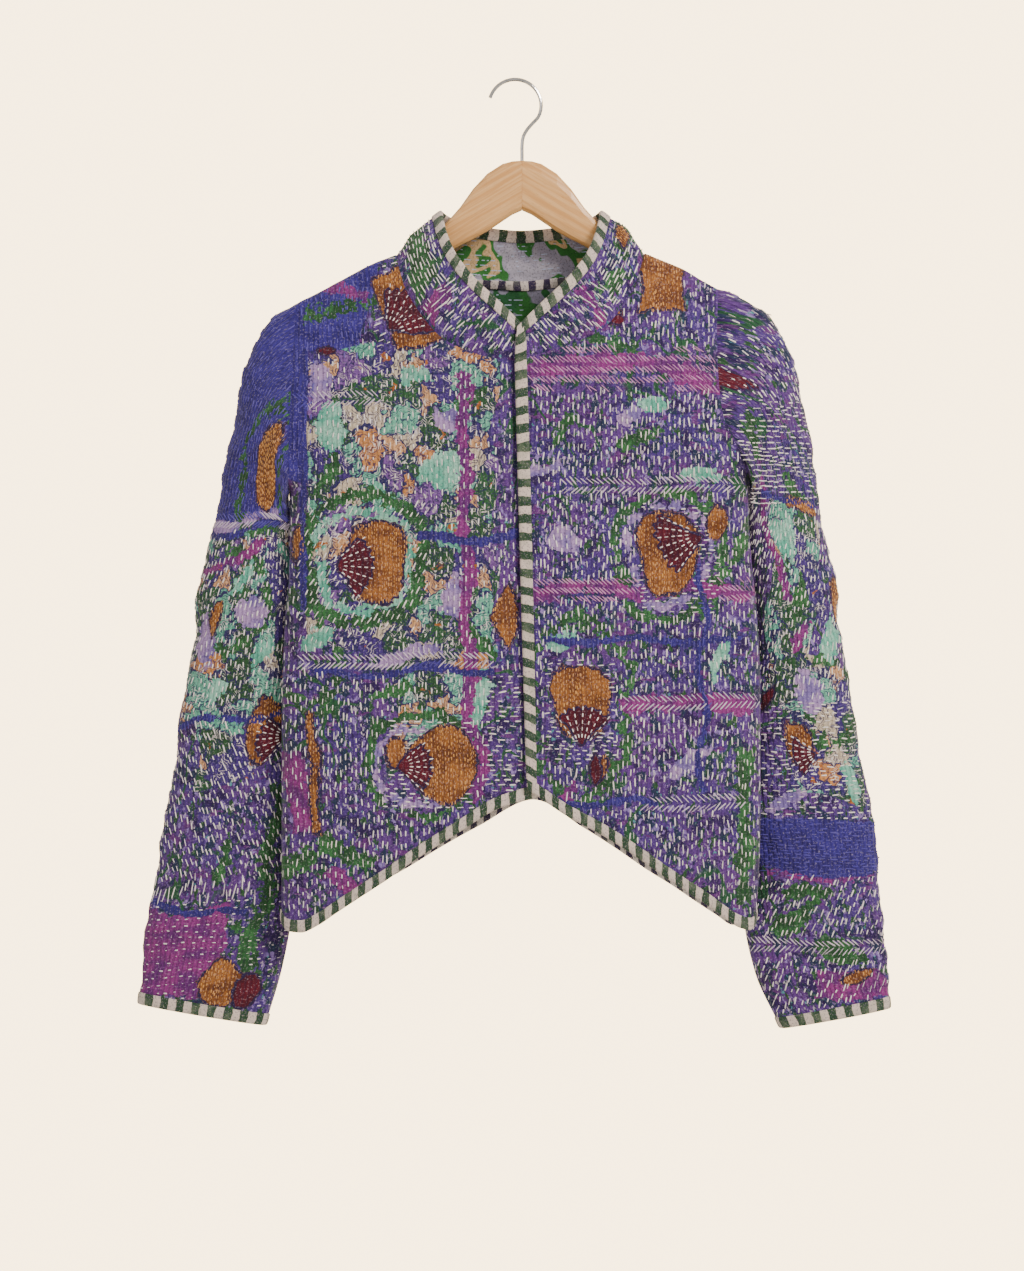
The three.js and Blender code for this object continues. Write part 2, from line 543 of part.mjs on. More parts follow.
// The channel of a binding, folded over an edge: rim nodes and their neighbours in the panel.
// Its faces are split along the same diagonals as the panel's, so that the gap stays even.
function bindingSolid(rim, neighbours, turned, round = false, width = BINDING_WIDTH) {
  const near = TAPE_GAP;
  const far = TAPE_GAP + TAPE_WALL;
  const sections = rim.map((node, i) => {
    const towards = neighbours[i];
    const distance = node.point.distanceTo(towards.point);
    const reach = Math.abs(distance - width) < BINDING_SNAP ? 1 : width / distance;
    const point = node.point.clone().lerp(towards.point, reach);
    const normal = node.normal.clone().lerp(towards.normal, reach).normalize();
    const deep = { point, normal };
    const inward = point.clone().sub(node.point).normalize();
    const at = (base, out, past) => base.point.clone()
      .addScaledVector(base.normal, out).addScaledVector(inward, -past);
    return [
      at(deep, far, 0), at(node, far, far), at(node, -WALL - far, far), at(deep, -WALL - far, 0),
      at(deep, -WALL - near, 0), at(node, -WALL - near, near), at(node, near, near), at(deep, near, 0),
    ];
  });
  const { points, faces, sides, count } = barSolid(sections, round, turned);
  if (!round) {
    for (const base of [0, (count - 1) * sides]) {
      const cap = [[0, 1, 6], [0, 6, 7], [1, 2, 5], [1, 5, 6], [2, 3, 4], [2, 4, 5]];
      cap.forEach(([a, b, c]) => faces.push(base === 0
        ? [base + a, base + b, base + c] : [base + a, base + c, base + b]));
    }
  }
  return solid(points, faces);
}

// A strip that lies inside a panel, moved off its inner skin
function insideTape(top, neighbours, width) {
  const sections = top.map((node, i) => {
    const reach = width / node.point.distanceTo(neighbours[i].point);
    const low = { point: node.point.clone().lerp(neighbours[i].point, reach), normal: neighbours[i].normal };
    return [
      innerPoint(node, WALL + TAPE_GAP), innerPoint(low, WALL + TAPE_GAP),
      innerPoint(low, WALL + TAPE_GAP + TAPE_WALL), innerPoint(node, WALL + TAPE_GAP + TAPE_WALL),
    ];
  });
  const { points, faces, sides, count } = barSolid(sections);
  const end = (count - 1) * sides;
  faces.push([0, 1, 2], [0, 2, 3], [end, end + 2, end + 1], [end, end + 3, end + 2]);
  return solid(points, faces);
}

// The armhole's nodes, from the shoulder down the front, round the armpit and up the back
function armholeNodes(side) {
  const fromArmpit = ROWS_BELOW_ARMPIT;
  const front = halfPanel('front', side)[0].slice(fromArmpit).reverse();
  const back = halfPanel('back', side)[0].slice(fromArmpit);
  return [...front, ...back.slice(1, -1)];
}

// A ring of the sleeve: an oval between its outer and inner edge, blended out of the armhole
function sleeveRing(side, table, armhole, turns, t) {
  const oval = (s, turn) => {
    const across = Math.cos(turn);
    const outX = side.sign * table.outX(s);
    const inX = side.sign * table.inX(s);
    return new THREE.Vector3(mix(inX, outX, (1 + across) / 2),
      table.y(s) - table.depth(s) * Math.sin(turn), mix(table.inZ(s), table.outZ(s), (1 + across) / 2));
  };
  const left = 1 - smooth(t / SLEEVE_BLEND);
  return armhole.map((node, i) => {
    const point = oval(t, turns[i]);
    point.addScaledVector(node.point.clone().sub(oval(0, turns[i])), left);
    const centre = new THREE.Vector3(side.sign * (table.outX(t) + table.inX(t)) / 2, table.y(t), point.z);
    const away = point.clone().sub(centre).normalize();
    point.addScaledVector(away, sleeveFold(t, turns[i]) * (1 - left));
    return keepBehindBody(side, point, t);
  });
}

function sleeveFold(t, turn) {
  return SLEEVE_FOLDS.reduce((height, fold) => height
    + fold.height * bell((t - fold.t) / fold.along) * bell((turn - fold.turn) / fold.around), 0);
}

// The sleeve hangs beside and behind the body: its skin never enters the body's back
function keepBehindBody(side, point, t) {
  const inside = (edgeX(side, point.z) - point.x) * side.sign;
  if (t === 0 || inside < 0 || point.z > side.armpit) return point;
  const limit = bodyY('back', side, point.x, point.z) + SLEEVE_CLEARANCE;
  point.y = Math.max(point.y, limit);
  return point;
}

// A sleeve as columns round it, each from the armhole to the cuff
function sleeveGrid(side, rows) {
  const table = {};
  for (const key of ['outX', 'outZ', 'inX', 'inZ', 'y', 'depth']) table[key] = curve(rows, 't', key);
  const armhole = armholeNodes(side);
  const deepest = ROWS_ABOVE_ARMPIT[0];
  const half = [...ROWS_ABOVE_ARMPIT].reverse().map((drop) => Math.acos(1 - 2 * drop / deepest));
  const turns = [...half, ...half.slice(1, -1).reverse().map((turn) => 2 * Math.PI - turn)];
  const rings = rows.map((row) => sleeveRing(side, table, armhole, turns, row.t));
  const count = turns.length;
  return turns.map((_, i) => rings.map((ring, j) => {
    if (j === 0) return { point: ring[i].clone(), normal: armhole[i].normal.clone() };
    const round = rings[j][(i + 1) % count].clone().sub(rings[j][(i + count - 1) % count]);
    const next = rings[Math.min(j + 1, rings.length - 1)][i];
    const along = next.clone().sub(rings[j - 1][i]);
    const normal = round.cross(along).normalize();
    const away = ring[i].clone().sub(new THREE.Vector3(side.sign * (table.outX(rows[j].t)
      + table.inX(rows[j].t)) / 2, table.y(rows[j].t), ring[i].z));
    if (normal.dot(away) < 0) normal.negate();
    return { point: ring[i].clone(), normal };
  }));
}

// The collar's columns: the neck seam's nodes and the free edge above them
function collarGrid(panels) {
  const seams = [];
  const add = (face, side, column, t) => {
    const top = face === 'front' ? COLLAR_TOP_FRONT : COLLAR_TOP_BACK;
    const centre = MIDDLE_TOP.x;
    const x = curve(top, 't', 'x')(t);
    const end = new THREE.Vector3(centre + side.sign * x, curve(top, 't', 'y')(t), curve(top, 't', 'z')(t));
    end.y += lapStep(face, side, end.x, end.z);
    const seam = column[column.length - 1];
    seams.push({ seam, end });
  };
  const neckOf = (face, side) => {
    return halfColumns(face, side).map((column, i) => ({ t: column.t, nodes: panels[face + side.name][i] }))
      .filter((column) => column.t !== undefined);
  };
  neckOf('front', RIGHT).reverse().forEach(({ t, nodes }) => add('front', RIGHT, nodes, t));
  neckOf('back', RIGHT).slice(1).forEach(({ t, nodes }) => add('back', RIGHT, nodes, t));
  neckOf('back', LEFT).slice(0, -1).reverse().slice(0, -1)
    .forEach(({ t, nodes }) => add('back', LEFT, nodes, t));
  neckOf('front', LEFT).forEach(({ t, nodes }) => add('front', LEFT, nodes, t));
  // The third row lies where the binding ends
  const rows = seams.map(({ seam, end }) => [0, COLLAR_MIDDLE_ROW,
    1 - BINDING_WIDTH / seam.point.distanceTo(end), 1]);
  const points = seams.map(({ seam, end }, i) => rows[i].map((v) => seam.point.clone().lerp(end, v)));
  return seams.map(({ seam }, i) => rows[i].map((v, j) => {
    const before = points[Math.max(0, i - 1)][j];
    const after = points[Math.min(points.length - 1, i + 1)][j];
    const along = after.clone().sub(before);
    const up = points[i][points[i].length - 1].clone().sub(points[i][0]);
    const normal = along.cross(up).normalize();
    if (normal.dot(points[i][0].clone().setZ(0).sub(new THREE.Vector3(MIDDLE_TOP.x, 0, 0))) < 0) {
      normal.negate();
    }
    const point = points[i][j].clone().addScaledVector(normal, COLLAR_BULGE * Math.sin(Math.PI * v));
    return { point, normal: j === 0 ? seam.normal.clone() : normal };
  }));
}

const between = (a, b, t) => ({
  point: a.point.clone().lerp(b.point, t), normal: a.normal.clone().lerp(b.normal, t).normalize(),
});
const lastOf = (list) => list[list.length - 1];
const rowOf = (grid, j) => grid.map((column) => column.at(j));

function buildCloth() {
  const panels = {};
  for (const side of [RIGHT, LEFT]) {
    for (const face of ['front', 'back']) panels[face + side.name] = halfPanel(face, side);
  }
  const pieces = {};
  const collar = collarGrid(panels);

  for (const side of [RIGHT, LEFT]) {
    const grid = cloneGrid(panels['front' + side.name]);
    setBack(grid[0], grid[1], SEAM_SETBACK);
    setBack(rowOf(grid, -1), rowOf(grid, -2), SEAM_SETBACK);
    pieces['front_' + side.name] = wallSolid(grid);
    pieces['hem_binding_' + side.name] = bindingSolid(rowOf(grid, 0), rowOf(grid, 1), RIM_IS_FIRST_ROW);

    // The front edge's binding starts above the hem's and runs on up the end of the collar
    const edge = lastOf(grid);
    const inside = grid.at(-2);
    const [end, beside] = side === RIGHT ? collar : [lastOf(collar), collar.at(-2)];
    const start = (column) => between(column[0], column[1],
      BINDING_START / column[0].point.distanceTo(column[1].point));
    const finish = (column) => between(column[1], column[2], COLLAR_END_SHARE);
    const rim = [start(edge), ...edge.slice(1), end[1], finish(end)];
    const next = [start(inside), ...inside.slice(1), beside[1], finish(beside)];
    pieces['front_edge_binding_' + side.name] = bindingSolid(rim, next, RIM_IS_LAST_ROW);
  }

  const back = [...cloneGrid(panels.backright), ...cloneGrid(panels.backleft).slice(0, -1).reverse()];
  setBack(back[0], back[1], SEAM_SETBACK);
  setBack(lastOf(back), back.at(-2), SEAM_SETBACK);
  setBack(rowOf(back, -1), rowOf(back, -2), SEAM_SETBACK);
  pieces.back = wallSolid(back);
  pieces.hem_binding_back = bindingSolid(rowOf(back, 0), rowOf(back, 1), RIM_IS_FIRST_ROW);

  const tapeStart = SHOULDER_COLUMNS + 2;
  const tapeColumns = back.slice(tapeStart, back.length - tapeStart);
  pieces.neck_tape = insideTape(rowOf(tapeColumns, -1), rowOf(tapeColumns, NECK_TAPE_ROW), NECK_TAPE_WIDTH);

  const collarPiece = cloneGrid(collar);
  setBack(rowOf(collarPiece, 0), rowOf(collarPiece, 1), SEAM_SETBACK);
  pieces.collar = wallSolid(collarPiece);
  pieces.collar_binding = bindingSolid(rowOf(collarPiece, -1), rowOf(collarPiece, -2), RIM_IS_LAST_ROW);

  for (const [side, rows] of [[RIGHT, SLEEVE_RIGHT], [LEFT, SLEEVE_LEFT]]) {
    const grid = sleeveGrid(side, rows);
    grid.forEach((column) => {
      const [first, second] = column;
      first.point.addScaledVector(second.point.clone().sub(first.point).normalize(), SEAM_SETBACK);
    });
    pieces['sleeve_' + side.name] = wallSolid(grid, true);
    pieces['cuff_binding_' + side.name] = bindingSolid(rowOf(grid, -1), rowOf(grid, -2), RIM_IS_LAST_ROW, true);
  }
  return pieces;
}

// One arm of the hanger: rounded sections along its length
function armGeometry(sign) {
  const sections = HANGER_ARM.map((row) => {
    const centre = (row.top + row.bottom) / 2;
    const height = (row.top - row.bottom) / 2;
    return Array.from({ length: ARM_SIDES }, (_, i) => {
      const turn = (i + 0.5) * 2 * Math.PI / ARM_SIDES;
      const round = (value) => Math.sign(value) * Math.pow(Math.abs(value), 2 / ARM_POWER);
      return new THREE.Vector3(SHAFT_X + sign * row.out,
        row.half * round(Math.sin(turn)), centre + height * round(Math.cos(turn)));
    });
  });
  const { points, faces, sides, count } = barSolid(sections);
  const end = (count - 1) * sides;
  for (let i = 1; i < sides - 1; i += 1) {
    faces.push([0, i, i + 1], [end, end + i + 1, end + i]);
  }
  return solid(points, faces);
}

const wasm = await Module();
wasm.setup();

function toManifold(geometry) {
  const bare = geometry.clone();
  bare.deleteAttribute('normal');
  bare.deleteAttribute('uv');
  const merged = mergeVertices(bare);
  return new wasm.Manifold(new wasm.Mesh({
    numProp: 3,
    vertProperties: Float32Array.from(merged.attributes.position.array),
    triVerts: Uint32Array.from(merged.index.array),
  }));
}

function fromManifold(manifold) {
  const mesh = manifold.getMesh();
  const geometry = new THREE.BufferGeometry();
  geometry.setAttribute('position', new THREE.BufferAttribute(mesh.vertProperties, 3));
  geometry.setIndex(new THREE.BufferAttribute(mesh.triVerts, 1));
  geometry.computeVertexNormals();
  return geometry;
}

// The hole that the shaft is screwed into, half of it in each arm
function boredArm(sign) {
  const drill = new THREE.CylinderGeometry(SHAFT_HOLE_RADIUS, SHAFT_HOLE_RADIUS, DRILL_DEPTH, DRILL_SIDES);
  drill.rotateX(Math.PI / 2);
  drill.translate(SHAFT_X, 0, HANGER_ARM[0].top + DRILL_START - DRILL_DEPTH / 2);
  return fromManifold(toManifold(armGeometry(sign)).subtract(toManifold(drill)));
}

function hookGeometry() {
  const points = [];
  for (let i = 0; i <= BEND_STEPS; i += 1) {
    const angle = THREE.MathUtils.degToRad(mix(BEND_START, BEND_END, i / BEND_STEPS));
    points.push(new THREE.Vector3(BEND_CENTRE.x + BEND_RADIUS * Math.cos(angle), 0,
      BEND_CENTRE.z + BEND_RADIUS * Math.sin(angle)));
  }
  for (const { x, z } of HOOK_NECK) points.push(new THREE.Vector3(x, 0, z));
  points.push(new THREE.Vector3(SHAFT_X, 0, SHAFT_END));
  const path = new THREE.CatmullRomCurve3(points, false, 'centripetal');
  const section = new THREE.Shape(Array.from({ length: WIRE_SIDES }, (_, i) => {
    const turn = 2 * Math.PI * i / WIRE_SIDES;
    return new THREE.Vector2(Math.cos(turn) * WIRE / 2, Math.sin(turn) * WIRE / 2);
  }));
  return new THREE.ExtrudeGeometry(section, { steps: HOOK_STEPS, bevelEnabled: false, extrudePath: path });
}

const group = new THREE.Group();

function addMesh(name, geometry, material) {
  const mesh = new THREE.Mesh(geometry, material);
  mesh.name = name;
  group.add(mesh);
}

const pieces = buildCloth();
for (const [name, geometry] of Object.entries(pieces)) {
  const bound = name.includes('binding') || name.includes('tape');
  addMesh(name, geometry, bound ? MATERIALS.binding : MATERIALS.cloth);
}
addMesh('hanger_arm_right', boredArm(RIGHT.sign), MATERIALS.wood);
addMesh('hanger_arm_left', boredArm(LEFT.sign), MATERIALS.wood);
addMesh('hook', hookGeometry(), MATERIALS.metal);

export default group;
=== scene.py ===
"""Kantha jacket, quilted cotton with bound edges, hung on a wooden hanger.

Metres, +Z up, +X to the viewer's right, and the front of the jacket faces -Y. The shape
tables are in millimetres. The origin is the inside top of the hook's bend. Right and left
are the wearer's own, so the right side lies at -X.
"""
import logging
from math import acos, atan2, cos, pi, radians, sin
from dataclasses import dataclass, field
from enum import Enum
from functools import partial
from typing import Callable

import bpy
import numpy as np
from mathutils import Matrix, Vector
from mathutils.kdtree import KDTree


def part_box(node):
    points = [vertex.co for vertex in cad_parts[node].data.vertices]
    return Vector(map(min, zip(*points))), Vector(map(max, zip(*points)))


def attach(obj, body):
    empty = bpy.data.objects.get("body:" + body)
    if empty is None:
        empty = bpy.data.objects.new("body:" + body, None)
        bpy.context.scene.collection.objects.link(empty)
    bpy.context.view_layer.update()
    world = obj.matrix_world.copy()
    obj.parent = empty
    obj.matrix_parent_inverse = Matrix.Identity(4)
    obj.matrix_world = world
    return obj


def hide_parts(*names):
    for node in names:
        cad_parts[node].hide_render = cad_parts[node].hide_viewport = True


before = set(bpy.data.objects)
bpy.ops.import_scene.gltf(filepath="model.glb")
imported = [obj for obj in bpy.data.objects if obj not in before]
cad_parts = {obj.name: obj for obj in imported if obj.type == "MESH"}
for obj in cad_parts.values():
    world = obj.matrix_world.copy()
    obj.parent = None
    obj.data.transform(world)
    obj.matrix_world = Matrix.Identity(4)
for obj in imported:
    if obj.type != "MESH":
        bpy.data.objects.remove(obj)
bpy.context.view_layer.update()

log = logging.getLogger("kantha_jacket")

Array = np.ndarray
Material, Piece, Socket = bpy.types.Material, bpy.types.Object, bpy.types.NodeSocket
Adder = Callable[..., Socket]

MM = 0.001
ROOT = "root"

# Cloth
WALL = 1.8
BINDING_WIDTH = 10.0
NECK_TAPE_WIDTH = 9.0
GRID_STEP = 3.2

# Body: a flat oval hung from the shoulders, deeper in front than at the side folds
OVAL_POWER = 2.6
FRONT_DEPTH = 44.0
BACK_DEPTH = 38.0
SIDE_FOLD_FORWARD = 12.0
ARMHOLE_FRONT = 26.0
ARMHOLE_BACK = 34.0
ARMHOLE_POWER = 2.4
ARMHOLE_FLAT = 0.28
ARMHOLE_FLAT_REACH = 0.4
RIDGE_RADIUS = 10.0
RIDGE_REACH = 165.0
RIDGE_EASE = 2.2
COLLAR_SLOPE = 0.45
SIDE_HEM_Z = -770.0
BACK_HEM_REACH = 204.0
MIDDLE_HEM_Z = -700.0

# Front opening: the left front laps over the right one
MIDDLE_TOP = (3.7, -243.0)
MIDDLE_BOTTOM = (14.7, -650.0)
OVER_LAP = 5.0
UNDER_LAP = 4.0
LAP_STEP = 5.6
LAP_STEP_START = 27.0
LAP_STEP_LENGTH = 16.0
LAP_COLUMNS = (30.0, BINDING_WIDTH)

# Rows and columns that the panels' forms are worked out on
ROWS_ABOVE_ARMPIT = (177.0, 167.0, 145.0, 110.0, 76.0, 46.0, 26.0, 13.0, 6.0, 2.0, 0.0)
ROWS_BELOW_ARMPIT = 11
SHOULDER_COLUMNS = 4
NECK_COLUMNS = 5
COLUMN_BUNCH = 0.7
COLUMN_TOP_PULL = 2.5
ARMPIT_TURN = 0.4
ARMPIT_TURN_SHARE = 0.8

COLLAR_MIDDLE_ROW = 0.36
COLLAR_END_SHARE = 0.93
COLLAR_BULGE = 2.5
SLEEVE_BLEND = 0.3
SLEEVE_CLEARANCE = 2.8
SHAFT_X = 4.6


class Face(Enum):
    """The two faces of the body: depth in front is towards -Y."""

    FRONT = -1
    BACK = 1


def mix(a: float, b: float, t: float) -> float:
    """The value a share t of the way from a to b."""
    return a + (b - a) * t


def smooth(t: Array) -> Array:
    """An even step from 0 to 1."""
    c = np.clip(t, 0.0, 1.0)
    return c * c * (3.0 - 2.0 * c)


def bell(value: Array) -> Array:
    """A bell curve of height 1 and half width 1."""
    return np.exp(-value * value)


def unit(vectors: Array) -> Array:
    """Vectors of length 1 along the last axis."""
    length = np.linalg.norm(vectors, axis=-1, keepdims=True)
    return vectors / np.maximum(length, 1e-9)


def through(at: Array, values: Array, places: Array) -> Array:
    """Samples a smooth curve that passes through given values and never overshoots them.

    Args:
        at: rising positions of the given values.
        values: the values, one for each position along the first axis.
        places: positions to sample.
    Returns:
        The values at the places, along the first axis.
    """
    at, values = np.asarray(at, float), np.asarray(values, float)
    shape = (-1,) + (1,) * (values.ndim - 1)
    rise = np.diff(values, axis=0) / np.diff(at).reshape(shape)
    slope = np.zeros_like(values)
    slope[0], slope[-1] = rise[0], rise[-1]
    product, total = rise[:-1] * rise[1:], rise[:-1] + rise[1:]
    slope[1:-1] = np.where(product > 0, 2 * product / np.where(total == 0, 1, total), 0)
    place = np.clip(np.asarray(places, float), at[0], at[-1])
    i = np.clip(np.searchsorted(at, place, side="left") - 1, 0, len(at) - 2)
    step = (at[i + 1] - at[i]).reshape(shape)
    t = (place - at[i]).reshape(shape) / step
    bend = t * t * (3 - 2 * t)
    return (values[i] * (1 - bend) + values[i + 1] * bend
            + step * (slope[i] * t * (1 - t) ** 2 - slope[i + 1] * t * t * (1 - t)))


class Curve:
    """A smooth curve through the rows of a table, each row a place and its value."""

    def __init__(self, rows: list[tuple[float, float]]) -> None:
        """Sorts the rows by place."""
        table = np.array(sorted(rows), float)
        self.at, self.value = table[:, 0], table[:, 1]

    def __call__(self, x: float | Array) -> Array:
        """The value at each x."""
        x = np.asarray(x, float)
        return through(self.at, self.value, x.ravel()).reshape(x.shape)


@dataclass
class Side:
    """One side of the jacket: the seams' courses, in millimetres.

    Args:
        width: half width by height, at the side seam and then at the armhole.
        ridge: height of the shoulder line by distance out.
        neck: the neck seam, as share, distance out and height.
        hem: height of the front hem by distance out.
    """

    name: str
    sign: int
    armpit: float
    shoulder_end: float
    neck_point: tuple[float, float]
    width: list[tuple[float, float]]
    ridge: list[tuple[float, float]]
    neck: list[tuple[float, float, float]]
    hem: list[tuple[float, float]]

    def __post_init__(self) -> None:
        """Makes the curves through the tables."""
        self.width_at = Curve(self.width)
        self.ridge_at = Curve(self.ridge)
        self.neck_x = Curve([(t, x) for t, x, _ in self.neck])
        self.neck_z = Curve([(t, z) for t, _, z in self.neck])
        self.hem_at = Curve(self.hem)


RIGHT = Side(
    "right", -1, -380.0, -203.0, (111.3, -159.0),
    width=[(-770, 217), (-610, 217), (-545, 216), (-498, 214), (-448, 210), (-380, 209),
           (-330, 208), (-275, 206), (-203, 202.5)],
    ridge=[(111.3, -159), (131, -166.5), (172, -187.5), (202.5, -203)],
    neck=[(0, 111.3, -159), (0.15, 105.8, -182.6), (0.31, 93.8, -207.5), (0.48, 77.3, -229.5),
          (0.64, 57, -247), (0.78, 35.9, -256), (1, -7.7, -261)],
    hem=[(-19, -655), (8, -662), (23, -668), (56, -689), (88, -709), (121, -732), (155, -754),
         (187, -775), (198, -779), (210, -778), (217, -770)],
)
LEFT = Side(
    "left", 1, -367.0, -190.0, (117.3, -158.0),
    width=[(-770, 220), (-712, 223.6), (-678, 224.5), (-566, 224.5), (-476, 220), (-416, 214),
           (-367, 213), (-339, 201), (-311, 188), (-275, 184), (-238, 183), (-190, 185)],
    ridge=[(117.3, -158), (147, -169), (166, -179.5), (185, -190)],
    neck=[(0, 117.3, -158), (0.14, 111, -180), (0.27, 102, -199), (0.42, 92, -216),
          (0.55, 79, -230), (0.68, 61, -240.5), (0.8, 42, -247.5), (0.91, 20, -254),
          (1, -1.3, -261)],
    hem=[(9, -648), (15.6, -652), (37, -667), (90, -697), (142, -733), (178, -757),
         (202, -774), (213, -777), (220, -770)],
)

BACK_HEM = Curve([(0, -661), (22, -674), (58, -693), (93, -718), (128, -740), (163, -763),
                  (190, -777), (204, -770)])
# Back neck: share of the half neck width, and drop below the neck point
BACK_NECK_OUT = Curve([(0, 1), (0.12, 0.94), (0.3, 0.77), (0.6, 0.42), (1, 0)])
BACK_NECK_DROP = Curve([(0, 0), (0.12, 7), (0.3, 14), (0.6, 20), (1, 21.5)])
BACK_NECK_EASE = {"right": 1.0, "left": 0.955}
# Collar's free edge over the neck seam: share, distance out, depth and height
COLLAR_TOP = {
    Face.FRONT: [(0, 74, 0, -120), (0.15, 71, -15, -135), (0.31, 65, -26, -153),
                 (0.48, 54, -34, -172), (0.64, 42, -38, -186), (0.78, 25, -41, -202),
                 (1, -4, -43.5, -231)],
    Face.BACK: [(0, 74, 0, -120), (0.12, 71, 8, -122), (0.3, 60, 17, -127),
                (0.6, 33, 25, -133), (1, 0, 27, -135.5)],
}

# Sleeves, from armhole to cuff: place along, the outer edge's and the inner edge's distance
# out and height as seen from the front, the middle depth and half the depth
SLEEVES = {
    "right": [
        (0, 202.5, -203, 209, -380, 0, 28), (0.06, 226, -217, 211, -390, 4, 31),
        (0.12, 244, -245, 210, -401, 9, 33), (0.19, 255, -284, 207, -416, 13, 34),
        (0.26, 264, -325, 204, -434, 17, 34), (0.33, 274, -372, 201, -458, 20, 33),
        (0.41, 285, -425, 199, -494, 21, 32), (0.48, 295, -474, 198, -531, 22, 31),
        (0.56, 303, -531, 197, -580, 22, 30), (0.64, 311, -585, 197, -628, 22, 28),
        (0.72, 319, -640, 199, -679, 21, 26), (0.79, 329, -695, 202, -729, 20, 23),
        (0.86, 337, -748, 208, -777, 19, 20), (0.93, 345, -796, 216, -818, 18, 17),
        (1, 350, -849, 231, -869, 18, 14),
    ],
    "left": [
        (0, 185, -190, 213, -367, 0, 28), (0.06, 213, -204, 220, -379, 0, 30),
        (0.12, 238, -223, 217, -392, 7.5, 32.5), (0.19, 255, -257, 213, -408, 13, 33.5),
        (0.26, 266, -304, 209, -428, 16, 33), (0.33, 275, -352, 206, -455, 19, 33),
        (0.41, 284, -405, 205, -488, 20, 32), (0.48, 293, -460, 205, -525, 21, 31),
        (0.56, 302, -518, 205, -572, 22, 30), (0.64, 311, -575, 204, -622, 22, 28),
        (0.72, 321, -634, 204, -673, 21, 26), (0.79, 331, -692, 205, -724, 20, 23),
        (0.86, 336, -748, 209, -776, 19, 20), (0.93, 342, -802, 219, -822, 18, 17),
        (1, 345, -853, 242, -872, 18, 14),
    ],
}

# Large folds of the body: centre, sideways lean for each millimetre down, half width, half
# length and height. The first rows are the solids' own, the rest are finer creases.
BODY_FOLDS = {
    Face.FRONT: [
        (-168, -560, 0.1, 26, 190, 4), (-92, -610, 0.06, 30, 150, -3.5),
        (-40, -420, -0.05, 28, 140, 3), (64, -560, -0.08, 27, 170, 3.5),
        (122, -470, 0.16, 26, 160, -4), (176, -600, 0.05, 24, 170, 4),
        (-196, -300, 0.02, 7, 110, -2.6), (-150, -330, 0.25, 12, 70, 1.6),
        (-60, -330, -0.3, 12, 60, -1.4), (150, -330, -0.2, 11, 70, -1.8),
        (188, -420, 0.25, 9, 70, 2.2), (95, -640, -0.1, 14, 90, -1.6),
        (20, -500, 0.02, 12, 120, -1.2), (-125, -700, 0.1, 13, 70, 1.7),
        (70, -270, 0.4, 11, 45, 1.4), (-196, -470, -0.1, 9, 90, 1.8),
    ],
    Face.BACK: [
        (-150, -540, 0.08, 30, 200, 4.5), (-70, -480, 0.02, 32, 190, -3.5),
        (20, -560, -0.04, 30, 180, 4), (95, -470, -0.06, 30, 180, -3.5),
        (165, -560, -0.05, 28, 190, 4.5), (-178, -360, 0.2, 11, 90, -2.2),
        (176, -350, -0.2, 11, 90, -2.2), (-110, -640, 0.05, 13, 110, 1.8),
        (60, -660, 0.0, 13, 100, -1.8), (-20, -330, 0.1, 14, 80, 1.5),
        (130, -300, -0.2, 12, 60, 1.4), (0, -700, 0.0, 12, 60, -1.3),
    ],
}
# Sleeve creases: place along and around, half spread of each, height
SLEEVE_FOLDS = [
    (0.3, 1.1, 0.06, 0.5, -3), (0.44, 1.9, 0.05, 0.7, 3), (0.57, 1.2, 0.05, 0.6, -3),
    (0.5, 4.4, 0.06, 0.7, 3), (0.68, 4.9, 0.06, 0.6, -3), (0.8, 1.7, 0.06, 0.5, 2.5),
    (0.04, 3.14, 0.07, 0.55, 45),
]


def middle(z: float | Array) -> Array:
    """x of the body's middle line at a height."""
    share = (MIDDLE_TOP[1] - np.asarray(z, float)) / (MIDDLE_TOP[1] - MIDDLE_BOTTOM[1])
    return mix(MIDDLE_TOP[0], MIDDLE_BOTTOM[0], np.maximum(0, share))


def edge_x(side: Side, z: float | Array) -> Array:
    """Signed x of the side seam or the armhole at a height."""
    return side.sign * side.width_at(z)


def ridge_z(side: Side, x: Array) -> Array:
    """Height of the shoulder line, carried on inward under the collar."""
    out = np.asarray(x, float) * side.sign
    inside = side.neck_point[0] - out
    return np.where(inside > 0, side.neck_point[1] + inside * COLLAR_SLOPE, side.ridge_at(out))


def armhole_share(side: Side, z: Array) -> Array:
    """0 at the armpit and 1 at the shoulder's end."""
    return np.clip((z - side.armpit) / (side.shoulder_end - side.armpit), 0, 1)


def front_edge(side: Side, z: Array) -> Array:
    """Signed x of the front edge at a height."""
    return middle(z) + (UNDER_LAP if side is RIGHT else -OVER_LAP)


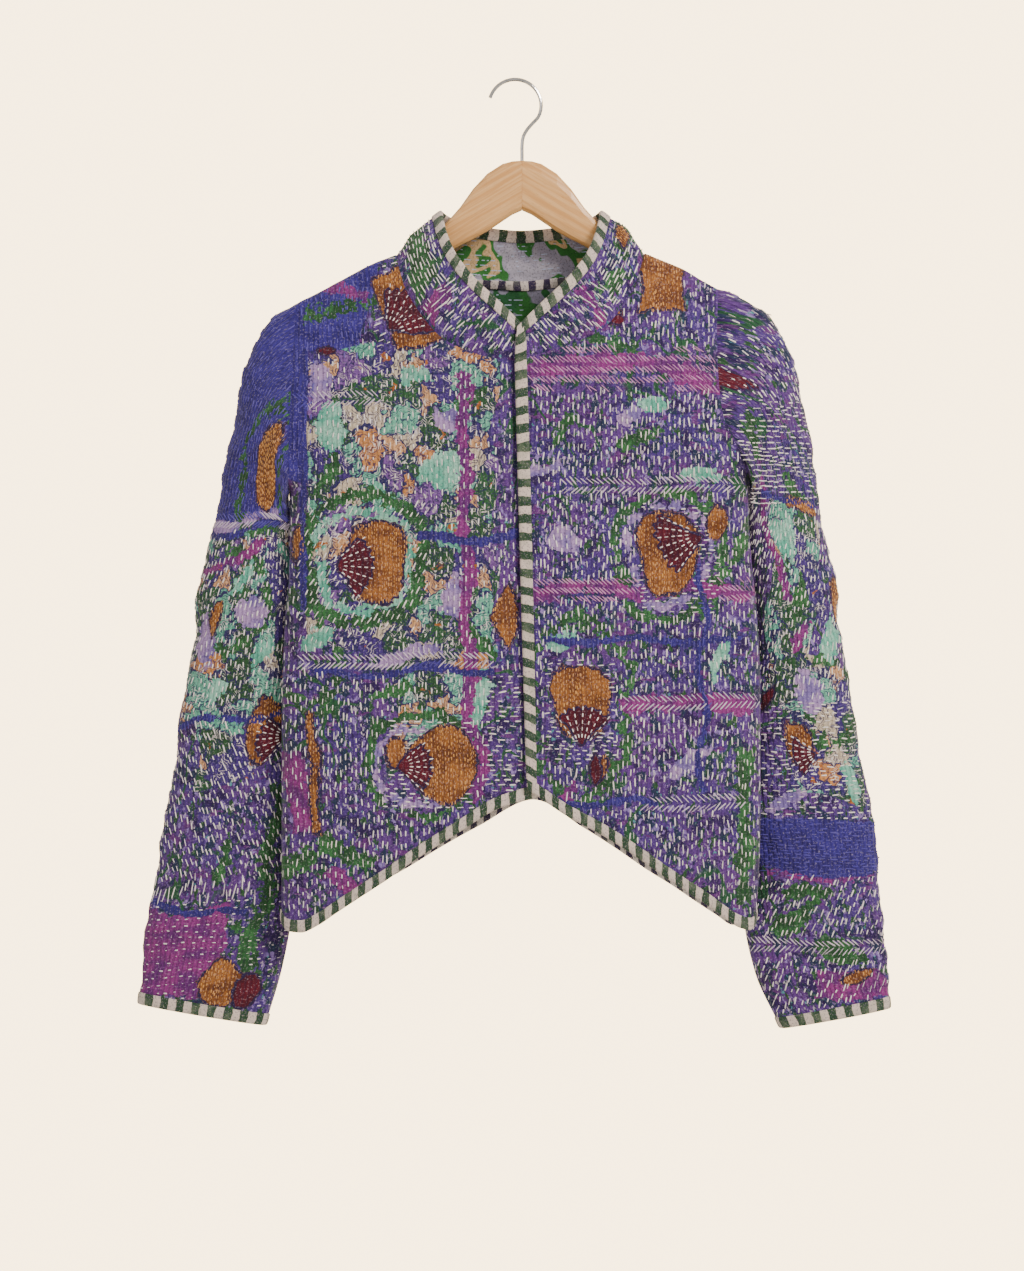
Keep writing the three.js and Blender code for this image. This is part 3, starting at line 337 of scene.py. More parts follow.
def body_point(face: Face, side: Side, x: Array, z: Array) -> Array:
    """Points of the body's outer skin.

    Args:
        face: front or back.
        side: the side whose seams bound the point.
        x: signed x of each point.
        z: height of each point.
    Returns:
        The points, with x, y and z along the last axis.
    """
    x, z = np.broadcast_arrays(np.asarray(x, float), np.asarray(z, float))
    centre = middle(z)
    out = np.clip(np.abs((x - centre) / (edge_x(side, z) - centre)), 0, 1)
    share = armhole_share(side, z)
    arch = np.maximum(0, 1 - np.abs(2 * share - 1) ** ARMHOLE_POWER) ** (1 / ARMHOLE_POWER)
    turned = SIDE_FOLD_FORWARD * (1 - smooth(share))
    front = face is Face.FRONT
    edge = turned + ARMHOLE_FRONT * arch if front else -turned + ARMHOLE_BACK * arch
    depth = FRONT_DEPTH if front else BACK_DEPTH
    cut = 1 - ARMHOLE_FLAT * smooth(share / ARMHOLE_FLAT_REACH)
    floor = (1 - cut ** OVAL_POWER) ** (1 / OVAL_POWER)
    arc = (1 - (out * cut) ** OVAL_POWER) ** (1 / OVAL_POWER)
    base = mix(edge, depth, (arc - floor) / (1 - floor))
    drop = np.maximum(0, ridge_z(side, x) - z)
    rounded = RIDGE_RADIUS * np.sqrt(1 - (1 - np.minimum(drop / RIDGE_RADIUS, 1)) ** 2)
    opened = 1 - (1 - np.minimum(drop / RIDGE_REACH, 1)) ** RIDGE_EASE
    rise = np.zeros_like(x)
    for fold_x, fold_z, lean, width, length, height in BODY_FOLDS[face]:
        across = (x - fold_x - lean * (fold_z - z)) / width
        rise = rise + height * bell(across) * bell((z - fold_z) / length)
    y = face.value * (rounded + (base - RIDGE_RADIUS) * opened
                      + rise * opened * (1 - out ** 6))
    if front and side is RIGHT:
        start = centre + UNDER_LAP - LAP_STEP_START
        y = y + LAP_STEP * smooth((x - start) / LAP_STEP_LENGTH)
    return np.stack([x, y, z], axis=-1)


def seam_normal(face: Face, side: Side, x: Array, z: Array) -> Array:
    """Outward normals of the body, turned down at the armpit where the sleeve joins."""
    step = 0.05
    here = body_point(face, side, x, z)
    inward = body_point(face, side, x - side.sign * step, z)
    down = body_point(face, side, x, z - step)
    normal = np.stack([(inward[..., 1] - here[..., 1]) * side.sign / step,
                       np.ones_like(here[..., 1]), (down[..., 1] - here[..., 1]) / step], axis=-1)
    normal = unit(normal * face.value)
    at_seam = (np.abs(x - edge_x(side, z)) < 0.01) & (z > side.armpit - 0.01)
    share = armhole_share(side, z)
    turn = np.where(at_seam, ARMPIT_TURN_SHARE * (1 - smooth(share / ARMPIT_TURN)), 0)[..., None]
    return unit(normal * (1 - turn) + np.array([0.0, 0.0, -1.0]) * turn)


@dataclass
class Column:
    """One column of a half panel.

    Args:
        x: signed x of its top.
        z: height of its top.
        hem: share of the half width at the hem, unless the column runs beside the front edge.
        lap: distance in from the front edge, for a column that runs beside it.
        t: share of the neck seam, for a column that ends on it.
    """

    x: float
    z: float
    hem: float = 0.0
    lap: float | None = None
    t: float | None = None


@dataclass
class Skin:
    """A grid of surface points in millimetres, with their outward normals.

    Args:
        points: columns by rows by three.
        normals: the same shape.
    """

    points: Array
    normals: Array


# How close the columns bunch towards the neck point
NECK_BUNCH = {Face.FRONT: 1.7, Face.BACK: 1.5}
HALVINGS = 40
HEM_ROUNDS = 6


def neck_share_at(side: Side, x: float) -> float:
    """The share of the neck seam that lies over a signed x, found by halving."""
    low, high = 0.0, 1.0
    for _ in range(HALVINGS):
        t = (low + high) / 2
        if side.neck_x(t) > x * side.sign:
            low = t
        else:
            high = t
    return (low + high) / 2


def half_columns(face: Face, side: Side) -> list[Column]:
    """The columns of a half panel, from the side seam inward."""
    front = face is Face.FRONT
    even = SHOULDER_COLUMNS + NECK_COLUMNS
    lap_share = LAP_COLUMNS[0] / float(side.width_at(SIDE_HEM_Z)) if front else 0.0

    def spread(i: int) -> float:
        s = i / even
        bunched = max(0.0, cos(s * pi / 2)) ** (2 / OVAL_POWER)
        return mix(lap_share, 1, mix(1 - s, bunched, COLUMN_BUNCH))

    def on_neck(t: float) -> tuple[float, float]:
        return side.sign * float(side.neck_x(t)), float(side.neck_z(t))

    columns = []
    for i in range(SHOULDER_COLUMNS + 1):
        x = side.sign * mix(float(side.width_at(side.shoulder_end)), side.neck_point[0],
                            i / SHOULDER_COLUMNS)
        columns.append(Column(x, float(ridge_z(side, x)), spread(i)))
    columns[-1].t = 0.0
    edge = float(front_edge(side, side.neck_z(1.0)))
    bunch = NECK_BUNCH[face]
    for i in range(1, NECK_COLUMNS + 1):
        s, hem = (i / NECK_COLUMNS) ** bunch, spread(SHOULDER_COLUMNS + i)
        if front:
            t = s * neck_share_at(side, edge + side.sign * LAP_COLUMNS[0])
            columns.append(Column(*on_neck(t), hem, t=t))
        else:
            x = mix(MIDDLE_TOP[0], side.sign * side.neck_point[0], float(BACK_NECK_OUT(s)))
            z = side.neck_point[1] - float(BACK_NECK_DROP(s)) * BACK_NECK_EASE[side.name]
            columns.append(Column(x, z, hem, t=s))
    for lap in (LAP_COLUMNS[1], 0.0) if front else ():
        t = neck_share_at(side, edge + side.sign * lap)
        columns.append(Column(*on_neck(t), lap=lap, t=t))
    return columns


def row_shares(side: Side) -> Array:
    """Shares of a panel's height, 0 at the hem and 1 at the top, with a row on the armpit."""
    hem = float(side.hem_at(side.width_at(SIDE_HEM_Z)))
    below = (side.armpit - hem) / (side.shoulder_end - hem)
    lower = [below * i / ROWS_BELOW_ARMPIT for i in range(ROWS_BELOW_ARMPIT)]
    return np.array(lower + [mix(below, 1, 1 - drop / ROWS_ABOVE_ARMPIT[0])
                             for drop in ROWS_ABOVE_ARMPIT])


def half_panel(face: Face, side: Side) -> Skin:
    """A half panel: columns from the side seam inward, rows from the hem up."""
    outline = []
    for column in half_columns(face, side):
        bottom = (0.0, MIDDLE_HEM_Z)
        for _ in range(HEM_ROUNDS):
            if column.lap is None:
                x = mix(float(middle(bottom[1])), float(edge_x(side, SIDE_HEM_Z)), column.hem)
            else:
                x = float(front_edge(side, bottom[1])) + side.sign * column.lap
            if face is Face.FRONT:
                z = float(side.hem_at(x * side.sign))
            else:
                reach = abs(float(edge_x(side, SIDE_HEM_Z)) - MIDDLE_BOTTOM[0])
                z = float(BACK_HEM(abs(x - MIDDLE_BOTTOM[0]) * BACK_HEM_REACH / reach))
            bottom = (x, z)
        share = [(x - float(middle(z))) / (float(edge_x(side, z)) - float(middle(z)))
                 for x, z in (bottom, (column.x, column.z))]
        v = row_shares(side)
        z = mix(bottom[1], column.z, v)
        across = mix(share[0], share[1], v ** COLUMN_TOP_PULL)
        if column.lap is None:
            x = mix(middle(z), edge_x(side, z), across)
        else:
            x = front_edge(side, z) + side.sign * column.lap
        outline.append(np.stack([x, z], axis=-1))
    x, z = np.moveaxis(np.array(outline), -1, 0)
    return Skin(body_point(face, side, x, z), seam_normal(face, side, x, z))


def armhole_nodes(side: Side) -> Skin:
    """The armhole from the shoulder down the front, round the armpit and up the back."""
    front, back = half_panel(Face.FRONT, side), half_panel(Face.BACK, side)
    down, up = slice(None, ROWS_BELOW_ARMPIT - 1, -1), slice(ROWS_BELOW_ARMPIT + 1, -1)
    return Skin(np.concatenate([front.points[0][down], back.points[0][up]]),
                np.concatenate([front.normals[0][down], back.normals[0][up]]))


def sleeve_turns() -> Array:
    """The angle of each armhole node: 0 at the shoulder, half a turn at the armpit."""
    deepest = ROWS_ABOVE_ARMPIT[0]
    half = [acos(1 - 2 * drop / deepest) for drop in reversed(ROWS_ABOVE_ARMPIT)]
    return np.array(half + [2 * pi - turn for turn in reversed(half[1:-1])])


def sleeve_skin(side: Side) -> Skin:
    """A sleeve: columns round it from the shoulder line, rows from the armhole to the cuff."""
    rows = np.array(SLEEVES[side.name], float)
    armhole, turns = armhole_nodes(side), sleeve_turns()

    def oval(row: Array) -> Array:
        share = (1 + np.cos(turns)) / 2
        _, out_x, out_z, in_x, in_z, y, depth = row
        return np.stack([side.sign * mix(in_x, out_x, share), y - depth * np.sin(turns),
                         mix(in_z, out_z, share)], axis=-1)

    rings, centres = [], []
    for row in rows:
        t, out_x, _, in_x, _, y, _ = row
        left = 1 - float(smooth(t / SLEEVE_BLEND))
        ring = oval(row) + (armhole.points - oval(rows[0])) * left
        centre = np.stack([np.full(len(turns), side.sign * (out_x + in_x) / 2),
                           np.full(len(turns), y), ring[:, 2]], axis=-1)
        height = sum(h * bell((t - at) / along) * bell((turns - turn) / around)
                     for at, turn, along, around, h in SLEEVE_FOLDS)
        ring = ring + unit(ring - centre) * (height * (1 - left))[:, None]
        inside = (edge_x(side, ring[:, 2]) - ring[:, 0]) * side.sign
        limit = body_point(Face.BACK, side, ring[:, 0], ring[:, 2])[:, 1] + SLEEVE_CLEARANCE
        behind = (t > 0) & (inside >= 0) & (ring[:, 2] <= side.armpit)
        ring[:, 1] = np.where(behind, np.maximum(ring[:, 1], limit), ring[:, 1])
        rings.append(ring)
        centres.append(centre)
    points, centres = np.array(rings), np.array(centres)
    rounded = np.roll(points, -1, axis=1) - np.roll(points, 1, axis=1)
    along = np.concatenate([points[1:], points[-1:]]) - np.concatenate([points[:1], points[:-1]])
    normals = unit(np.cross(rounded, along))
    normals *= np.where(np.sum(normals * (points - centres), axis=-1, keepdims=True) < 0, -1, 1)
    normals[0] = armhole.normals
    return Skin(points.swapaxes(0, 1), normals.swapaxes(0, 1))


def collar_skin() -> Skin:
    """The collar: columns along the neck seam from the right front's edge to the left's."""
    seams, ends, seam_normals = [], [], []
    parts = [(Face.FRONT, RIGHT, True, slice(None)), (Face.BACK, RIGHT, False, slice(1, None)),
             (Face.BACK, LEFT, True, slice(1, -1)), (Face.FRONT, LEFT, False, slice(None))]
    for face, side, reverse, chosen in parts:
        skin, columns = half_panel(face, side), half_columns(face, side)
        on_neck = [(column.t, i) for i, column in enumerate(columns) if column.t is not None]
        top = np.array(COLLAR_TOP[face], float)
        for t, i in (on_neck[::-1] if reverse else on_neck)[chosen]:
            out, y, z = through(top[:, 0], top[:, 1:], np.array([t]))[0]
            x = MIDDLE_TOP[0] + side.sign * out
            if face is Face.FRONT and side is RIGHT:
                start = float(middle(z)) + UNDER_LAP - LAP_STEP_START
                y += LAP_STEP * float(smooth((x - start) / LAP_STEP_LENGTH))
            seams.append(skin.points[i][-1])
            seam_normals.append(skin.normals[i][-1])
            ends.append([x, y, z])
    seams, ends = np.array(seams), np.array(ends)
    height = np.linalg.norm(ends - seams, axis=1)
    rows = np.stack([np.zeros_like(height), np.full_like(height, COLLAR_MIDDLE_ROW),
                     1 - BINDING_WIDTH / height, np.ones_like(height)], axis=-1)
    points = seams[:, None] + (ends - seams)[:, None] * rows[..., None]
    along = np.concatenate([points[1:], points[-1:]]) - np.concatenate([points[:1], points[:-1]])
    normals = unit(np.cross(along, (ends - seams)[:, None]))
    outward = points * np.array([1, 1, 0]) - np.array([MIDDLE_TOP[0], 0, 0])
    normals *= np.where(np.sum(normals * outward[:, :1], axis=-1, keepdims=True) < 0, -1, 1)
    points = points + normals * (COLLAR_BULGE * np.sin(np.pi * rows))[..., None]
    normals[:, 0] = np.array(seam_normals)
    return Skin(points, normals)


def spaced(skin: Array, axis: int, step: float) -> Array:
    """Places along one axis of a grid, spaced so that the widest gap there is near a step.

    Args:
        skin: columns by rows by three.
        axis: 0 to space the columns, 1 to space the rows.
        step: the spacing wanted, in millimetres.
    Returns:
        Rising places, counted in the old grid's own spans.
    """
    spans = np.linalg.norm(np.diff(skin, axis=axis), axis=-1).max(axis=1 - axis)
    places = [np.linspace(i, i + 1, max(1, round(float(span) / step)), endpoint=False)
              for i, span in enumerate(spans)]
    return np.concatenate([*places, [len(spans)]])


def refine(skin: Skin, step: float) -> Skin:
    """The same skin on a finer grid, curved smoothly between the old points."""
    across, along = spaced(skin.points, 0, step), spaced(skin.points, 1, step)

    def resample(values: Array) -> Array:
        columns = through(np.arange(values.shape[0]), values, across)
        rows = through(np.arange(values.shape[1]), columns.swapaxes(0, 1), along)
        return rows.swapaxes(0, 1)

    return Skin(resample(skin.points), unit(resample(skin.normals)))


def arc_lengths(points: Array, axis: int) -> Array:
    """Distance along the skin from the first column or row, at each point."""
    spans = np.linalg.norm(np.diff(points, axis=axis), axis=-1)
    total = np.cumsum(spans, axis=axis)
    start = np.zeros_like(total[:1] if axis == 0 else total[:, :1])
    return np.concatenate([start, total], axis=axis)


class Edge(Enum):
    """How an edge of a piece is finished: sewn to its neighbour, or bound."""

    SEWN = "sewn"
    BOUND = "bound"


class Form(Enum):
    """The shapes that the print is built of."""

    OVAL = "oval"
    RING = "ring"
    BAR = "bar"
    FAN = "fan"
    LEAF = "leaf"


@dataclass(frozen=True)
class Mark:
    """One printed shape, in the cloth's own flat coordinates.

    Args:
        form: its shape.
        x: millimetres across.
        z: millimetres up.
        wide: half its width before it is turned.
        tall: half its height before it is turned.
        turn: turn in degrees, anticlockwise.
        line: width of the line that a ring is drawn with.
    """

    form: Form
    x: float
    z: float
    wide: float
    tall: float
    turn: float = 0.0
    line: float = 9.0

    def depth(self, x: Array, z: Array) -> Array:
        """How far each place lies inside the mark, in millimetres, less than 0 outside."""
        turn = radians(self.turn)
        across = (x - self.x) * cos(turn) + (z - self.z) * sin(turn)
        up = (z - self.z) * cos(turn) - (x - self.x) * sin(turn)
        small = min(self.wide, self.tall)
        radius = np.hypot(across / self.wide, up / self.tall)
        if self.form is Form.BAR:
            return np.minimum(self.wide - np.abs(across), self.tall - np.abs(up))
        if self.form is Form.LEAF:
            return self.tall * (1 - (across / self.wide) ** 2) - np.abs(up)
        if self.form is Form.RING:
            return self.line / 2 - np.abs(radius - 1) * small
        if self.form is Form.FAN:
            down = self.tall - up
            reach, angle = np.hypot(across, down), np.arctan2(np.abs(across), down)
            petals = np.abs(np.cos(angle / self.spread() * pi * FAN_PETALS / 2))
            return np.minimum(2 * self.tall * (0.88 + 0.12 * petals) - reach,
                              (self.spread() - angle) * reach)
        return (1 - radius) * small

    def spread(self) -> float:
        """Half the angle that a fan opens to, in radians."""
        return atan2(self.wide, 1.37 * self.tall)

    def rays(self) -> list[list[float]]:
        """Stitches along the petals of a fan: x, z, direction and length of each."""
        down = radians(self.turn) - pi / 2
        tip = (self.x - self.tall * cos(down), self.z - self.tall * sin(down))
        made = []
        for petal in range(-(FAN_PETALS // 2), FAN_PETALS // 2 + 1):
            bearing = down + self.spread() * petal * 2 / FAN_PETALS
            for reach in np.arange(0.34, 0.98, 6.2 / (2 * self.tall)) * 2 * self.tall:
                made.append([tip[0] + reach * cos(bearing), tip[1] + reach * sin(bearing),
                             bearing, 4.2])
        return made


Print = dict[str, list[Mark]]
DYES = ("plain", "patch", "green", "teal", "lilac", "magenta", "ochre", "maroon", "navy")
FAR_OUTSIDE = -99.0
FAN_PETALS = 7
# Depth is kept no more than this, so that the middle of a large mark wears through too
DEEPEST = 6.0


def dye_depths(marks: Print, x: Array, z: Array) -> dict[str, Array]:
    """Depth inside each dye's nearest mark, at each place of the cloth."""
    wander = 4.5
    x, z = (x + wander * np.sin(z / 13.7) * np.cos(x / 21.3 + 1.3),
            z + wander * np.sin(x / 15.1 + 0.7) * np.cos(z / 18.9))
    depths = {}
    for dye in DYES:
        depth = np.full_like(x, FAR_OUTSIDE)
        for mark in marks.get(dye, []):
            depth = np.maximum(depth, mark.depth(x, z))
        depths[dye] = np.minimum(depth, DEEPEST)
    return depths


# Waves of the hand-quilted unevenness: shortest, longest, how many and height of each
CRUMPLES = ((14, 30, 26, 0.11), (34, 70, 14, 0.24), (80, 130, 8, 0.42))


def crumple(x: Array, z: Array, seed: int) -> Array:
    """Hand-quilted unevenness: a seeded sum of waves 14 to 120 mm long, in millimetres."""
    rng = np.random.default_rng(seed)
    height = np.zeros_like(x)
    for shortest, longest, count, size in CRUMPLES:
        for _ in range(count):
            length, angle = rng.uniform(shortest, longest), rng.uniform(-1.1, 1.1)
            phase = rng.uniform(0, 2 * pi)
            wave = (x * sin(angle) + z * cos(angle)) * 2 * pi / length
            height = height + size * np.cos(wave + phase)
    return height


@dataclass
class Cloth:
    """A piece of quilted cloth: a closed wall on a fine grid, with its print and seams.

    Args:
        name: name of the piece.
        node: the solid that it stands for.
        skin: its outer skin, refined.
        flat: flat coordinates of each grid point, in millimetres.
        edges: finish of the first column, last column, first row and last row.
        marks: the print.
        cut: width, length and area of the cut before sewing, in metres; not used.
        seed: seed of its unevenness.
    """

    name: str
    node: str
    skin: Skin
    flat: Array
    edges: tuple[Edge, Edge, Edge, Edge]
    marks: Print
    cut: tuple[float, float, float]
    seed: int
    wall: float = WALL
    edge_rest: float = 9.0
    seam_dip: float = 1.3
    seam_width: float = 3.4

    def edge_distances(self) -> list[Array]:
        """Distance of each grid point from the four edges, along the skin."""
        across, along = arc_lengths(self.skin.points, 0), arc_lengths(self.skin.points, 1)
        return [across, across[-1:] - across, along, along[:, -1:] - along]

    def worked_skin(self) -> Skin:
        """The skin with its unevenness, flat under the bindings and drawn in at the seams."""
        distances = self.edge_distances()
        quiet = np.ones_like(distances[0])
        dip = np.zeros_like(quiet)
        for kind, distance in zip(self.edges, distances):
            if kind is Edge.BOUND:
                quiet = quiet * smooth((distance - BINDING_WIDTH) / self.edge_rest)
            elif kind is Edge.SEWN:
                quiet = quiet * smooth(distance / self.edge_rest)
                dip = np.maximum(dip, self.seam_dip * bell(distance / self.seam_width))
        height = crumple(self.flat[..., 0], self.flat[..., 1], self.seed) * quiet - dip
        return Skin(self.skin.points + self.skin.normals * height[..., None], self.skin.normals)

    def build(self, outside: Material, inside: Material) -> Piece:
        skin = self.worked_skin()
        columns, rows = skin.points.shape[:2]
        inner = skin.points - skin.normals * self.wall
        points = np.concatenate([skin.points.reshape(-1, 3), inner.reshape(-1, 3)])
        index = np.arange(columns * rows).reshape(columns, rows)
        under = index + columns * rows
        walls = [grid_faces(index), grid_faces(under)[:, ::-1]]
        rims = [(index[0], under[0]), (under[-1], index[-1]), (under[:, 0], index[:, 0]),
                (index[:, -1], under[:, -1])]
        walls += [grid_faces(np.stack(rim)) for rim in rims]
        faces = np.concatenate(walls)
        if signed_volume(points, faces) < 0:
            faces = faces[:, ::-1]
        piece = mesh_piece(self.name, points, faces.tolist(), [outside, inside])
        inside_faces = np.zeros(len(faces), int)
        inside_faces[len(walls[0]):len(walls[0]) + len(walls[1])] = 1
        piece.data.polygons.foreach_set("material_index", inside_faces)
        flat = np.concatenate([self.flat.reshape(-1, 2)] * 2)
        add_attribute(piece, "cloth", np.column_stack([flat, np.zeros(len(flat))]))
        for dye, depth in dye_depths(self.marks, flat[:, 0], flat[:, 1]).items():
            add_attribute(piece, "dye_" + dye, depth)
        return piece


def grid_faces(index: Array) -> Array:
    """The four-cornered faces between the entries of a grid of point numbers."""
    return np.stack([index[:-1, :-1], index[1:, :-1], index[1:, 1:], index[:-1, 1:]],
                    axis=-1).reshape(-1, 4)


def signed_volume(points: Array, faces: Array) -> float:
    """Six times the enclosed volume, below 0 where the faces point inward."""
    a, b, c, d = (points[faces[:, i]] for i in range(4))
    return float(np.sum(a * np.cross(b, c)) + np.sum(a * np.cross(c, d)))


def link(thing: Piece) -> None:
    """Puts an object into the scene."""
    bpy.context.scene.collection.objects.link(thing)


def mesh_piece(name: str, points: Array, faces: list[list[int]],
               materials: list[Material], sharp: float = 55.0) -> Piece:
    """Makes a mesh object that rides on the hanger's body.

    Args:
        name: name of the piece.
        points: corners in millimetres.
        faces: corner numbers of each face.
        materials: its materials, by material number.
        sharp: edges that turn by more than this many degrees stay sharp.
    Returns:
        The object, linked into the scene.
    """
    mesh = bpy.data.meshes.new(name)
    mesh.from_pydata((np.asarray(points) * MM).tolist(), [], faces)
    mesh.polygons.foreach_set("use_smooth", np.ones(len(mesh.polygons), bool))
    mesh.set_sharp_from_angle(angle=radians(sharp))
    for material in materials:
        mesh.materials.append(material)
    mesh.update()
    piece = bpy.data.objects.new(name, mesh)
    link(piece)
    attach(piece, ROOT)
    return piece


def add_attribute(piece: Piece, name: str, values: Array) -> None:
    """Stores one number, or three, for each point of a mesh."""
    vector = values.ndim == 2
    kind = "FLOAT_VECTOR" if vector else "FLOAT"
    attribute = piece.data.attributes.new(name, kind, "POINT")
    attribute.data.foreach_set("vector" if vector else "value", values.astype(np.float32).ravel())


def flat_of_panel(skin: Skin) -> Array:
    """Flat coordinates of a body panel: across and up."""
    return skin.points[..., [0, 2]]


def flat_of_sleeve(skin: Skin, side: Side, outer: int) -> Array:
    """Flat coordinates of a sleeve: distance round it from the front's middle, and height.

    Args:
        skin: the sleeve, with its columns starting and ending at the underarm seam.
        side: its side.
        outer: number of the column on the outer edge.
    Returns:
        Columns by rows by two.
    """
    round_it = arc_lengths(skin.points, 0)
    front = (round_it[-1:] + round_it[outer:outer + 1]) / 2
    return np.stack([(round_it - front) * -side.sign, skin.points[..., 2]], axis=-1)


def flat_of_collar(skin: Skin) -> Array:
    """Flat coordinates of the collar: distance along the neck seam, and height above it."""
    along = arc_lengths(skin.points, 0)[:, :1]
    up = arc_lengths(skin.points, 1)
    return np.stack([np.broadcast_to(along - along[-1:] / 2, up.shape), up], axis=-1)


@dataclass(frozen=True)
class Stitching:
    """A way of running the thread over one zone of the cloth.

    Args:
        zone: lowest and highest flat coordinates, x0, z0, x1, z1, in millimetres.
        thread: colour of the thread, by its place in THREADS.
        angle: direction of the rows in degrees, 90 for rows that run down.
        spacing: distance between rows.
        length: length of a stitch.
        gap: gap between two stitches of a row.
        slant: turn of each stitch out of its row; rows take it in turn either way if zigzag.
        zigzag: whether neighbouring rows slant opposite ways, as in a herringbone.
    """

    zone: tuple[float, float, float, float]
    thread: int = 0
    angle: float = 90.0
    spacing: float = 4.6
    length: float = 6.6
    gap: float = 4.2
    slant: float = 0.0
    zigzag: bool = False

    def holds(self, x: Array, z: Array) -> Array:
        """Whether each place lies in the zone."""
        x0, z0, x1, z1 = self.zone
        return (x >= x0) & (x <= x1) & (z >= z0) & (z <= z1)


